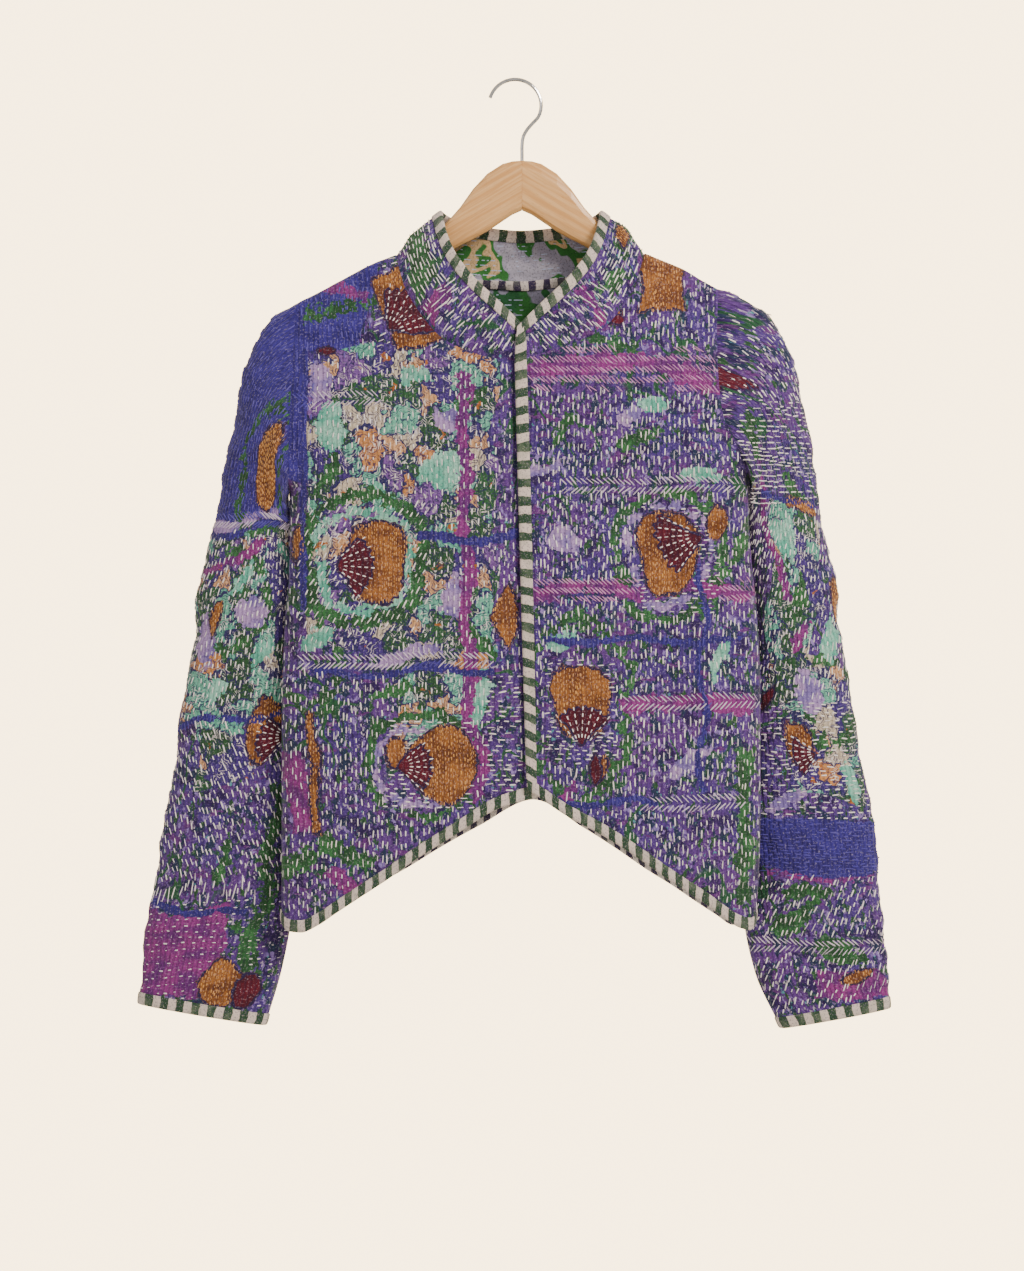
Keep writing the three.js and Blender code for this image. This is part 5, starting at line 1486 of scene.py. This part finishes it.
@dataclass(frozen=True)
class QuiltedCotton:
    """Old soft cotton cloths, block printed, layered and quilted by hand: matt, with a faint
    bloom of loose fibre, shallow ridges between the rows of stitches with painted shade along the
    sunk line of each row, and faded patches."""

    name: str = "quilted_cotton_printed"
    ground: tuple[str, str, str] = ("#291850", "#44317f", "#5a3581")
    plain: tuple[str, str] = ("#3a308e", "#2b2274")
    vine: str = "#1f5234"
    sprig: str = "#8a76c4"
    outline: str = "#241a44"
    fluff: str = "#b9b0c4"
    pits: str = "#191431"
    # Painted shade: the colour that darkens the sunk line of each row of stitches
    shade: str = "#1d1638"
    # Stray colour that shows all over the worn cloth: colour, size and how much of it
    stray: tuple[tuple[str, float, float, float], ...] = (
        ("#1f2f4e", 17.0, 0.54, 1.7), ("#27512f", 15.0, 0.58, 2.1), ("#8a74bd", 10.0, 0.6, 1.4),
        ("#b3a8c2", 9.0, 0.62, 1.6), ("#4f8f9c", 8.0, 0.65, 1.3), ("#5f2f78", 12.0, 0.6, 0.5),
    )
    # Each dye in the order that it is printed: its colour, a second shade and its raggedness
    dyes: tuple[tuple[str, str, str, float], ...] = (
        ("green", "#1f4a28", "#336b3c", 9.0), ("teal", "#55ab98", "#8cc8b8", 8.0),
        ("lilac", "#a68bc4", "#7566ab", 7.0), ("magenta", "#84307f", "#5f2470", 6.5),
        ("ochre", "#6b3f1c", "#9a642e", 3.2), ("maroon", "#430a1c", "#5a1024", 2.4),
        ("navy", "#2c2470", "#352c84", 3.5),
    )
    patchwork: tuple[str, ...] = ("#43307e", "#27502f", "#5fae98", "#c0864f", "#69b39e",
                                  "#74509a", "#cb9c70", "#c4b8a4", "#2b5a35")
    row_spacing: float = 4.6
    # The real weave is 0.5 mm and too fine to show, so it is drawn at 1.1 mm
    weave: float = 1.1

    def build(self) -> Material:
        """Makes the material. Its coordinates are millimetres of flat cloth."""
        material, add = new_material(self.name, Roughness=0.88, Sheen_Weight=0.22,
                                     Sheen_Roughness=0.45, Specular_IOR_Level=0.25)
        cloth = add("Attribute", output="Vector", attribute_name="cloth")
        return finish(material, Base_Color=self.printed(add, cloth), Normal=self.relief(add, cloth))

    def printed(self, add: Adder, cloth: Socket) -> Socket:
        """The dyed ground with each print over it, and painted shade along the sunk line of each
        row of stitches.
        """
        fade, blotch = mottle(add, cloth, 70.0, 3.0), mottle(add, cloth, 21.0, 4.0)
        ragged, worn = mottle(add, cloth, 7.0, 3.0), mottle(add, cloth, 1.9, 3.0)
        colour = layered(add, linear(self.ground[1]), (fade, 0.38, 0.62, 1, self.ground[2]),
                         (blotch, 0.5, 0.6, 1, self.ground[0]))
        plain = layered(add, linear(self.plain[0]), (blotch, 0.4, 0.62, 1, self.plain[1]))
        printed = add("Attribute", output="Fac", attribute_name="dye_plain")
        printed = add("MapRange", [printed, 1.0, -1.0], **SMOOTH)
        colour = add("Mix", {0: printed, 6: plain, 7: colour}, 2, **RGBA)
        spots = []
        for number, (shade, size, low, stretch) in enumerate(self.stray, start=1):
            spot = mottle(add, cloth, size, 4.0, (stretch, 1, 1), shift=37.0 * number)
            spots.append((add("MapRange", [spot, low, low + 0.025], **SMOOTH), shade))
        spots += [(self.vines(add, cloth), self.vine), (self.sprigs(add, cloth), self.sprig)]
        for spot, shade in spots:
            share = add("Math", [spot, printed], **TIMES)
            colour = add("Mix", {0: share, 6: colour, 7: linear(shade)}, 2, **RGBA)
        patch = add("Attribute", output="Fac", attribute_name="dye_patch")
        edge = add("Math", [patch, add("Math", [ragged, 3.0], **TIMES)], **PLUS)
        colour = layered(add, colour, (edge, 1.0, 2.2, 1, self.patch_colour(add, cloth)))
        for dye, shade, second, rag in self.dyes:
            depth = add("Attribute", output="Fac", attribute_name="dye_" + dye)
            both = add("Math", [ragged, mottle(add, cloth, 15.0, 3.0, shift=rag * 40)], **PLUS)
            uneven = add("Math", [add("Math", [both, 1.0], **MINUS), rag * 2.6], **TIMES)
            depth = add("Math", [depth, uneven], **PLUS)
            tone = layered(add, linear(shade), (blotch, 0.42, 0.6, 1, second))
            if dye in ("ochre", "maroon"):
                rim = add("Math", [add("MapRange", [depth, 0.0, 0.5], **SMOOTH),
                                   add("MapRange", [depth, 2.6, 1.6], **SMOOTH)], **TIMES)
                tone = add("Mix", {0: rim, 6: tone, 7: linear(self.outline)}, 2, **RGBA)
            colour = layered(add, colour, (depth, -0.35, 0.45, 1, tone))
        # The last layer is painted shade: the cloth is darkened along the sunk line of each row of
        # stitches
        return layered(add, colour, (worn, 0.55, 0.68, 0.36, self.fluff),
                       (worn, 0.47, 0.36, 0.5, self.pits),
                       (self.rows(add, cloth), -0.2, 1.0, 0.24, self.shade))

    def rows(self, add: Adder, cloth: Socket) -> Socket:
        """A wave, 1 along the sunk line of each row of stitches, -1 on the ridges between."""
        sway = add("Math", [mottle(add, cloth, 26.0, 1.0), 5.0], **TIMES)
        place = add("Math", [add("SeparateXYZ", [cloth]), sway], **PLUS)
        phase = add("Math", [place, 2 * pi / self.row_spacing], **TIMES)
        return add("Math", [phase], operation="COSINE")

    def vines(self, add: Adder, cloth: Socket) -> Socket:
        """Thin curling stems, 1 on the stem."""
        field = mottle(add, cloth, 48.0, 1.0, (1, 0.7, 1))
        line = add("Math", [add("Math", [field, 0.52], **MINUS)], operation="ABSOLUTE")
        some = add("MapRange", [mottle(add, cloth, 90.0, 1.0), 0.47, 0.53], **SMOOTH)
        return add("Math", [add("MapRange", [line, 0.016, 0.008], **SMOOTH), some], **TIMES)

    def sprigs(self, add: Adder, cloth: Socket) -> Socket:
        """Small printed leaves scattered about 17 mm apart."""
        cell = add("TexVoronoi", {"Vector": cloth, "Scale": 1 / 17, "Randomness": 0.9}).node
        some = add("MapRange", [cell.outputs["Color"], 0.62, 0.66, 0.0, 0.75], **SMOOTH)
        leaf = add("MapRange", [cell.outputs["Distance"], 0.2, 0.13], **SMOOTH)
        return add("Math", [leaf, some], **TIMES)

    def patch_colour(self, add: Adder, cloth: Socket) -> Socket:
        """A crowded all-over print: petals about 24 mm across, combed with dark and pale lines."""
        warp = add("VectorMath", [mottle(add, cloth, 14.0, 2.0, output=1), (34.0, 34.0, 0.0)],
                   **TIMES)
        place = add("VectorMath", [cloth, warp], **PLUS)
        petals = add("TexVoronoi", {"Vector": place, "Scale": 1 / 24}).node
        lines = add("TexVoronoi", {"Vector": place, "Scale": 1 / 24}, "Distance",
                    feature="DISTANCE_TO_EDGE")
        chosen = add("ValToRGB", [petals.outputs["Color"]])
        ramp = chosen.node.color_ramp
        ramp.interpolation = "CONSTANT"
        while len(ramp.elements) < len(self.patchwork):
            ramp.elements.new(0.5)
        for number, shade in enumerate(self.patchwork):
            ramp.elements[number].position = 0.18 + 0.64 * number / len(self.patchwork)
            ramp.elements[number].color = linear(shade)
        colour = layered(add, chosen, (lines, 0.05, 0.03, 1, "#2a2a5e"))
        angle = add("Math", [petals.outputs["Color"], 9.0], **TIMES)
        turned = add("VectorRotate", {"Vector": place, "Angle": angle}, rotation_type="Z_AXIS")
        combed = add("TexWave", {"Vector": turned, "Scale": 0.085, "Distortion": 2.0,
                                 "Detail": 2.0, "Detail Scale": 0.3}, "Fac")
        for size, shift, some, line, shade in (
                (8.0, 11.0, (0.42, 0.5, 0.0, 0.85), (0.36, 0.2), "#2b2a58"),
                (12.0, 31.0, (0.52, 0.58), (0.8, 0.92), "#cfc9cf")):
            broken = add("MapRange", [mottle(add, cloth, size, 2.0, shift=shift), *some], **SMOOTH)
            share = add("Math", [add("MapRange", [combed, *line], **SMOOTH), broken], **TIMES)
            colour = add("Mix", {0: share, 6: colour, 7: linear(shade)}, 2, **RGBA)
        return layered(add, colour, (petals.outputs["Distance"], 0.16, 0.1, 1, "#a3622c"))

    def relief(self, add: Adder, cloth: Socket) -> Socket:
        """Ridges between the rows, small puckers and the weave."""
        row = add("MapRange", [self.rows(add, cloth), -0.2, 1.0], **SMOOTH)
        pucker = mottle(add, cloth, 6.0, 2.0, (1, 1.6, 1))
        threads = add("TexWave", {"Vector": cloth, "Scale": 0.314 / self.weave,
                                  "Distortion": 1.5, "Detail": 1.0}, "Fac", bands_direction="Y")
        height = add("Math", [add("Math", [pucker, 1.1], **TIMES), row], **MINUS)
        height = add("Math", [height, add("Math", [threads, 0.12], **TIMES)], **PLUS)
        return add("Bump", {"Strength": 0.75, "Distance": 0.7 * MM, "Height": height})


@dataclass(frozen=True)
class CottonInside:
    """The jacket's inner side: a plain green cotton print, duller where it is shaded, with the
    backs of the running stitches showing as pale blue dashes."""

    name: str = "quilted_cotton_inside"
    shades: tuple[str, str] = ("#2f6f35", "#245a38")
    other: tuple[str, str, str] = ("#8b8aa6", "#b39a76", "#6b2733")
    # Share of the cloth, counted from the top of its noise, that the other colours start at
    other_from: float = 0.54
    dash: str = "#a9b6d8"
    row_spacing: float = 4.6

    def build(self) -> Material:
        """Makes the material. Its coordinates are millimetres of flat cloth."""
        material, add = new_material(self.name, Roughness=0.9, Sheen_Weight=0.2,
                                     Sheen_Roughness=0.5, Specular_IOR_Level=0.25)
        cloth = add("Attribute", output="Vector", attribute_name="cloth")
        patch, start = mottle(add, cloth, 46.0, 2.0), self.other_from
        others = [(patch, start + more, start + more + 0.015, 1, shade)
                  for more, shade in zip((0.0, 0.06, 0.13), self.other)]
        colour = layered(add, linear(self.shades[0]),
                         (mottle(add, cloth, 34.0, 3.0), 0.42, 0.56, 1, self.shades[1]), *others,
                         (mottle(add, cloth, 1.8, 2.0), 0.5, 0.64, 0.45, "#1c2f22"))
        up = add("SeparateXYZ", [cloth], 1)
        phase = add("Math", [up, 2 * pi / self.row_spacing], **TIMES)
        share = add("MapRange", [add("Math", [phase], operation="COSINE"), 0.72, 0.9], **SMOOTH)
        for field, low, high in ((mottle(add, cloth, 5.0, 1.0, (1, 0.5, 1)), 0.5, 0.53),
                                 (mottle(add, cloth, 30.0, 1.0, shift=5.0), 0.46, 0.52)):
            share = add("Math", [share, add("MapRange", [field, low, high], **SMOOTH)], **TIMES)
        colour = add("Mix", {0: share, 6: colour, 7: linear(self.dash)}, 2, **RGBA)
        bump = add("Bump", {"Strength": 0.7, "Distance": 0.8 * MM,
                            "Height": mottle(add, cloth, 5.0, 3.0)})
        return finish(material, Base_Color=colour, Normal=bump)


@dataclass(frozen=True)
class StripedBinding:
    """Woven striped cotton tape, cut across and folded over the edges: matt, a coarse plain
    weave, its stripes slightly wavy where the hand pulled the thread."""

    name: str
    pitch: float
    dark: str = "#20402c"
    pale: str = "#d3c6c1"
    # The real weave is 0.6 mm and too fine to show, so it is drawn at 1.2 mm
    weave: float = 1.2

    def build(self) -> Material:
        """Makes the material. Its coordinates are millimetres along and across the strip."""
        material, add = new_material(self.name, Roughness=0.85, Sheen_Weight=0.2,
                                     Sheen_Roughness=0.5, Specular_IOR_Level=0.25)
        strip = add("Attribute", output="Vector", attribute_name="strip")
        wander = add("Math", [mottle(add, strip, 11.0, 3.0), self.pitch * 0.34], **TIMES)
        along = add("Math", [add("SeparateXYZ", [strip]), wander], **PLUS)
        phase = add("Math", [along, 2 * pi / self.pitch], **TIMES)
        stripe = add("Math", [phase], operation="SINE")
        colour = layered(add, linear(self.dark), (stripe, -0.12, 0.12, 1, self.pale),
                         (mottle(add, strip, 1.7, 1.0), 0.55, 0.62, 0.5, "#57506a"),
                         (mottle(add, strip, 1.4, 1.0, shift=9.0), 0.6, 0.68, 0.45, "#b9b3ae"),
                         (mottle(add, strip, 16.0, 2.0), 0.45, 0.65, 0.3, "#7f8a78"))
        threads = add("TexWave", {"Vector": strip, "Scale": 0.314 / self.weave,
                                  "Distortion": 1.0}, "Fac")
        threads = add("Math", [threads, 0.35], **TIMES)
        height = add("Math", [threads, mottle(add, strip, 4.0, 2.0)], **PLUS)
        bump = add("Bump", {"Strength": 0.6, "Distance": 0.5 * MM, "Height": height})
        return finish(material, Base_Color=colour, Normal=bump)


@dataclass(frozen=True)
class CottonThread:
    """Loosely plied embroidery cotton: softer and a little glossier than the cloth. Each
    stitch takes its thread from the whole part of its shade, and its tone from the rest."""

    name: str = "cotton_thread"

    def build(self) -> Material:
        """Makes the material."""
        material, add = new_material(self.name, Roughness=0.7, Sheen_Weight=0.25,
                                     Sheen_Roughness=0.4, Specular_IOR_Level=0.35)
        shade = add("Attribute", output="Fac", attribute_name="shade")
        colour = linear(THREADS[0])
        for number, thread in enumerate(THREADS[1:], start=1):
            share = add("Math", [shade, float(number)], operation="GREATER_THAN")
            colour = add("Mix", {0: share, 6: colour, 7: linear(thread)}, 2, **RGBA)
        share = add("Math", [add("Math", [shade], operation="FRACT"), 0.2], **TIMES)
        colour = add("Mix", {0: share, 6: colour, 7: linear("#7d78a8")}, 2, **RGBA)
        height = mottle(add, add("TexCoord", output="Object"), 0.9 * MM, 1.0)
        bump = add("Bump", {"Strength": 0.5, "Distance": 0.2 * MM, "Height": height})
        return finish(material, Base_Color=colour, Normal=bump)


@dataclass(frozen=True)
class LacqueredBeech:
    """Pale beech, sawn, rounded and clear lacquered: a straight fine grain that runs down each
    arm, short darker flecks, and a soft even gloss."""

    name: str = "lacquered_beech"
    shades: tuple[str, str, str] = ("#e3b47a", "#d09a5c", "#b57d42")
    slope: float = radians(30.5)
    # Growth rings cut lengthwise show 2 to 5 mm apart
    rings: float = 3.2

    def build(self) -> Material:
        """Makes the material. Its grain follows the slope of each arm."""
        material, add = new_material(self.name, Roughness=0.36, Coat_Weight=0.25,
                                     Coat_Roughness=0.2, IOR=1.5)
        place = add("TexCoord", output="Object")
        parts = add("SeparateXYZ", [place]).node
        out = add("Math", [parts.outputs[0], SHAFT_X * MM], **MINUS)
        half = add("Math", [out], operation="SIGN")
        # Each arm is cut from another board, so its grain starts elsewhere
        depth = add("Math", [parts.outputs[1], add("Math", [half, 0.07], **TIMES)], **PLUS)
        joined = add("CombineXYZ",
                     [add("Math", [out], operation="ABSOLUTE"), depth, parts.outputs[2]])
        board = add("Mapping", {"Vector": joined, "Rotation": (0, -self.slope, 0)})
        bands = mottle(add, board, self.rings * MM, 3.0, (0.035, 1, 1))
        flecks = mottle(add, board, 0.9 * MM, 2.0, (0.12, 1, 1))
        colour = layered(add, linear(self.shades[0]), (bands, 0.38, 0.62, 1, self.shades[1]),
                         (flecks, 0.6, 0.75, 0.5, self.shades[2]))
        bump = add("Bump", {"Strength": 0.2, "Distance": 0.15 * MM, "Height": flecks})
        return finish(material, Base_Color=colour, Normal=bump)


@dataclass(frozen=True)
class ChromedWire:
    """Bright chromed steel wire: a clear mirror, with very fine marks along the drawn wire."""

    name: str = "chromed_steel_wire"

    def build(self) -> Material:
        """Makes the material."""
        material, add = new_material(self.name, Metallic=1.0, Roughness=0.14)
        worn = mottle(add, add("TexCoord", output="Object"), 4.0 * MM, 3.0)
        colour = layered(add, linear("#d6d8db"), (worn, 0.4, 0.7, 1, "#b9bcc1"))
        bump = add("Bump", {"Strength": 0.08, "Distance": 0.1 * MM, "Height": worn})
        return finish(material, Base_Color=colour, Normal=bump)


@dataclass
class Jacket:
    """The sewn jacket: six quilted pieces, their bindings, the neck tape and the stitches."""

    step: float = GRID_STEP
    collar_step: float = 2.8
    neck_tape_gap: float = 0.3
    neck_tape_wall: float = 1.0
    pieces: dict[str, Cloth] = field(default_factory=dict)
    built: dict[str, Piece] = field(default_factory=dict)

    def cut_pieces(self) -> None:
        """Works out the six pieces of cloth."""
        for side, marks, cut in ((RIGHT, FRONT_RIGHT_PRINT, (0.25, 0.63, 0.118)),
                                 (LEFT, FRONT_LEFT_PRINT, (0.24, 0.63, 0.109))):
            skin = refine(half_panel(Face.FRONT, side), self.step)
            name = "front_" + side.name
            self.pieces[name] = Cloth(name + "_quilt", name, skin, flat_of_panel(skin),
                                      (Edge.SEWN, Edge.BOUND, Edge.BOUND, Edge.SEWN), marks,
                                      cut, 11)
        halves = [half_panel(Face.BACK, side) for side in (RIGHT, LEFT)]
        skin = refine(Skin(
            np.concatenate([halves[0].points, halves[1].points[:-1][::-1]]),
            np.concatenate([halves[0].normals, halves[1].normals[:-1][::-1]])), self.step)
        self.pieces["back"] = Cloth("back_quilt", "back", skin, flat_of_panel(skin),
                                    (Edge.SEWN, Edge.SEWN, Edge.BOUND, Edge.SEWN), BACK_PRINT,
                                    (0.46, 0.63, 0.243), 12)
        for side, marks in ((RIGHT, SLEEVE_RIGHT_PRINT), (LEFT, SLEEVE_LEFT_PRINT)):
            self.pieces["sleeve_" + side.name] = self.cut_sleeve(side, marks)
        skin = refine(collar_skin(), self.collar_step)
        self.pieces["collar"] = Cloth("collar_quilt", "collar", skin, flat_of_collar(skin),
                                      (Edge.BOUND, Edge.BOUND, Edge.SEWN, Edge.BOUND),
                                      COLLAR_PRINT, (0.5, 0.06, 0.026), 13)

    def cut_sleeve(self, side: Side, marks: Print) -> Cloth:
        """One sleeve, opened along the seam under the arm."""
        whole = sleeve_skin(side)
        under = ROWS_BELOW_ARMPIT - 1
        order = [(under + i) % len(whole.points) for i in range(len(whole.points) + 1)]
        skin = refine(Skin(whole.points[order], whole.normals[order]), self.step)
        outer = int(np.argmax(skin.points[:, skin.points.shape[1] // 2, 0] * side.sign))
        flat = flat_of_sleeve(skin, side, outer)
        return Cloth(f"sleeve_{side.name}_quilt", "sleeve_" + side.name, skin, flat,
                     (Edge.SEWN, Edge.SEWN, Edge.SEWN, Edge.BOUND), marks, (0.36, 0.68, 0.15),
                     14 + side.sign)

    def dress(self) -> None:
        outside, inside = QuiltedCotton().build(), CottonInside().build()
        facing = CottonInside("quilted_cotton_collar_inside", ("#a3a2b8", "#8f8ea8"),
                              ("#2f6f35", "#c2a883", "#2f6f35"), other_from=0.49).build()
        thread = CottonThread().build()
        self.cut_pieces()
        trims = self.bindings()
        for name, cloth in self.pieces.items():
            quilt = cloth.build(outside, facing if cloth.name.startswith("collar") else inside)
            sewing = Sewing(name + "_stitches", cloth, STITCHING[name], 30 + len(self.built))
            stitches = sewing.build(thread)
            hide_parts(cloth.node)
            self.built[name] = quilt
            log.info("%s: %d faces, %d stitches", name, len(quilt.data.polygons),
                     len(stitches.data.polygons) // 12)

    def bindings(self) -> dict[str, list[Piece]]:
        """Builds the bindings and the neck tape.

        Returns:
            For each piece of cloth, the trims that go with it.
        """
        front = StripedBinding("binding_front_stripes", 16.2).build()
        hem = StripedBinding("binding_hem_stripes", 14.7).build()
        dusk = StripedBinding("binding_inner_stripes", 14.0, "#362c50", "#e6dedd").build()
        trims: dict[str, list[Piece]] = {name: [] for name in self.pieces}

        def bind(owner: str, name: str, line: tuple[Array, Array, Array], material: Material,
                 closed: bool = False) -> None:
            trims[owner].append(Binding(name + "_tape", name, *line, closed,
                                        seed=len(name)).build(material))

        back, collar = self.pieces["back"].worked_skin(), self.pieces["collar"].worked_skin()
        start = round(BINDING_WIDTH / self.step) + 1
        stop = round(collar.points.shape[1] * COLLAR_END_SHARE)
        for side, end in ((RIGHT, 0), (LEFT, -1)):
            name = "front_" + side.name
            skin = self.pieces[name].worked_skin()
            bind(name, "hem_binding_" + side.name, edge_line(skin, 1, 0), hem)
            line = tuple(np.concatenate([low[start:-2], high[2:stop]]) for low, high
                         in zip(edge_line(skin, 0, -1), edge_line(collar, 0, end)))
            bind(name, "front_edge_binding_" + side.name, line, front)
        bind("back", "hem_binding_back", edge_line(back, 1, 0), dusk)
        bind("collar", "collar_binding", edge_line(collar, 1, -1), front)
        for side in (RIGHT, LEFT):
            name = "sleeve_" + side.name
            skin = self.pieces[name].worked_skin()
            bind(name, "cuff_binding_" + side.name, edge_line(skin, 1, -1), hem, closed=True)
        trims["back"].append(self.neck_tape(back, dusk))
        return trims

    def neck_tape(self, back: Skin, material: Material) -> Piece:
        """The tape that covers the back neck seam inside."""
        low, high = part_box("neck_tape")
        line = edge_line(back, 1, -1)
        chosen = (line[0][:, 0] > low[0] / MM) & (line[0][:, 0] < high[0] / MM)
        rim, inner, normals = (values[chosen] for values in line)
        down = unit(inner - rim)
        near = WALL + self.neck_tape_gap
        far = near + self.neck_tape_wall
        section = ((0.0, near), (0.0, far - 0.3), (0.7, far), (4.5, far + 0.15), (8.3, far),
                   (NECK_TAPE_WIDTH, far - 0.3), (NECK_TAPE_WIDTH, near), (4.5, near))
        points = np.stack([rim + down * inset - normals * depth for inset, depth in section], 1)
        stations, sides = points.shape[:2]
        first, last = list(range(sides)), list(range((stations - 1) * sides, stations * sides))
        normal = np.cross(points[0][1] - points[0][0], points[0][5] - points[0][0])
        if np.dot(normal, points[1][0] - points[0][0]) > 0:
            first = first[::-1]
        else:
            last = last[::-1]
        place = (arc_lengths(rim[:, None], 0)[:, 0], np.array([inset for inset, _ in section]))
        return strip_piece("neck_seam_tape", "neck_tape", points, place, [first, last], material)


def edge_line(skin: Skin, axis: int, end: int) -> tuple[Array, Array, Array]:
    """An edge of a skin, for its binding.

    Args:
        skin: the cloth's worked skin.
        axis: 0 for its first or last column, 1 for its first or last row.
        end: 0 for the first, -1 for the last.
    Returns:
        Points of the edge, points a binding's width in from them, and normals.
    """
    points, normals = (grid if axis == 1 else grid.swapaxes(0, 1)
                       for grid in (skin.points, skin.normals))
    line = points if end == 0 else points[:, ::-1]
    inner = [[np.interp(BINDING_WIDTH, d, row[:, i]) for i in range(3)]
             for d, row in zip(arc_lengths(line, 1), line)]
    return points[:, end], np.array(inner), normals[:, end]


@dataclass
class Hanger:
    """The wooden hanger and its wire hook: the solids stay, and get their finishes."""

    arms: tuple[str, str] = ("hanger_arm_right", "hanger_arm_left")
    hook: str = "hook"
    joint_faces: tuple[float, float] = (4.42, 4.78)
    # Outline of the glued joint, depth and height, with the slot for the hook's stem
    joint: tuple[tuple[float, float], ...] = (
        (-2.4, -74), (-5, -76.8), (-6.3, -82.8), (-6.7, -96), (-6.3, -109.2), (-5, -115.2),
        (-2.6, -118), (2.6, -118), (5, -115.2), (6.3, -109.2), (6.7, -96), (6.3, -82.8),
        (5, -76.8), (2.4, -74), (2.4, -94.8), (-2.4, -94.8),
    )

    def dress(self) -> None:
        """Gives the arms their wood and the hook its chrome, and fills the glued joint."""
        wood, chrome = LacqueredBeech().build(), ChromedWire().build()
        for name, material in ((self.arms[0], wood), (self.arms[1], wood), (self.hook, chrome)):
            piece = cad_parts[name]
            piece.material_slots[0].material = material
            log.info("%s: %s", name, material.name)
        count = len(self.joint)
        points = [(x, y, z) for x in self.joint_faces for y, z in self.joint]
        faces = [list(range(count))[::-1], list(range(count, 2 * count))]
        faces += [[i, (i + 1) % count, (i + 1) % count + count, i + count] for i in range(count)]
        mesh_piece("hanger_glue_line", np.array(points), faces, [wood])


@dataclass
class Studio:
    """A plain pale floor, soft light and the camera, level with the jacket and in front."""

    aim: tuple[float, float, float] = (-0.0046, 0.0, -0.5097)
    distance: float = 3.0
    lens: float = 92.4
    sensor: float = 36.0
    floor_z: float = -1.75
    floor_half: float = 2.6

    def build(self) -> None:
        """Makes the camera, the world, the lights and the floor."""
        camera = bpy.data.cameras.new("camera")
        camera.lens, camera.sensor_width = self.lens, self.sensor
        viewer = bpy.data.objects.new("camera", camera)
        viewer.location = (self.aim[0], -self.distance, self.aim[2])
        viewer.rotation_euler = (pi / 2, 0, 0)
        link(viewer)
        bpy.context.scene.camera = viewer
        world = bpy.data.worlds.new("studio")
        world.use_nodes = True
        # The camera sees a bright cream room; the light that the room gives is softer
        background = world.node_tree.nodes["Background"]
        seen = world.node_tree.nodes.new("ShaderNodeBackground")
        path = world.node_tree.nodes.new("ShaderNodeLightPath")
        mixed = world.node_tree.nodes.new("ShaderNodeMixShader")
        for shader, colour, strength in ((background, "#fdf1e2", 0.74), (seen, "#ffe2b2", 6.6)):
            shader.inputs[0].default_value = linear(colour)
            shader.inputs[1].default_value = strength
        links = world.node_tree.links
        links.new(path.outputs["Is Camera Ray"], mixed.inputs[0])
        links.new(background.outputs[0], mixed.inputs[1])
        links.new(seen.outputs[0], mixed.inputs[2])
        links.new(mixed.outputs[0], world.node_tree.nodes["World Output"].inputs[0])
        bpy.context.scene.world = world
        for name, place, size, power, colour in (
                ("key", (1.7, -1.9, 1.2), 0.9, 90, "#fff0e0"),
                ("fill", (-2.4, -1.8, -0.2), 2.4, 13, "#fff4f0"),
                ("rim", (0.6, 2.4, 0.9), 1.6, 30, "#ffffff")):
            self.add_light(name, Vector(place), size, power, colour)
        self.add_floor()

    def add_light(self, name: str, place: Vector, size: float, power: float, colour: str) -> None:
        """Adds a soft square light that faces the jacket."""
        light = bpy.data.lights.new(name, "AREA")
        light.size, light.energy, light.color = size, power, linear(colour)[:3]
        lamp = bpy.data.objects.new(name, light)
        lamp.location = place
        lamp.rotation_euler = (Vector(self.aim) - place).to_track_quat("-Z", "Y").to_euler()
        link(lamp)

    def add_floor(self) -> None:
        """Adds the pale floor, well below the jacket."""
        half, z = self.floor_half, self.floor_z
        mesh = bpy.data.meshes.new("floor")
        mesh.from_pydata([(-half, -half, z), (half, -half, z), (half, half, z), (-half, half, z)],
                         [], [(0, 1, 2, 3)])
        material, add = new_material("floor_paint", Roughness=0.8)
        worn = mottle(add, add("TexCoord", output="Object"), 0.6, 3.0)
        colour = layered(add, linear("#f3eee2"), (worn, 0.3, 0.7, 1, "#efe9dc"))
        mesh.materials.append(finish(material, Base_Color=colour))
        floor = bpy.data.objects.new("floor", mesh)
        link(floor)


def main() -> None:
    """Builds the studio, the jacket and the hanger's finishes."""
    logging.basicConfig(level=logging.INFO, format="%(message)s")
    Studio().build()
    Jacket().dress()
    Hanger().dress()


if __name__ == "__main__":
    main()
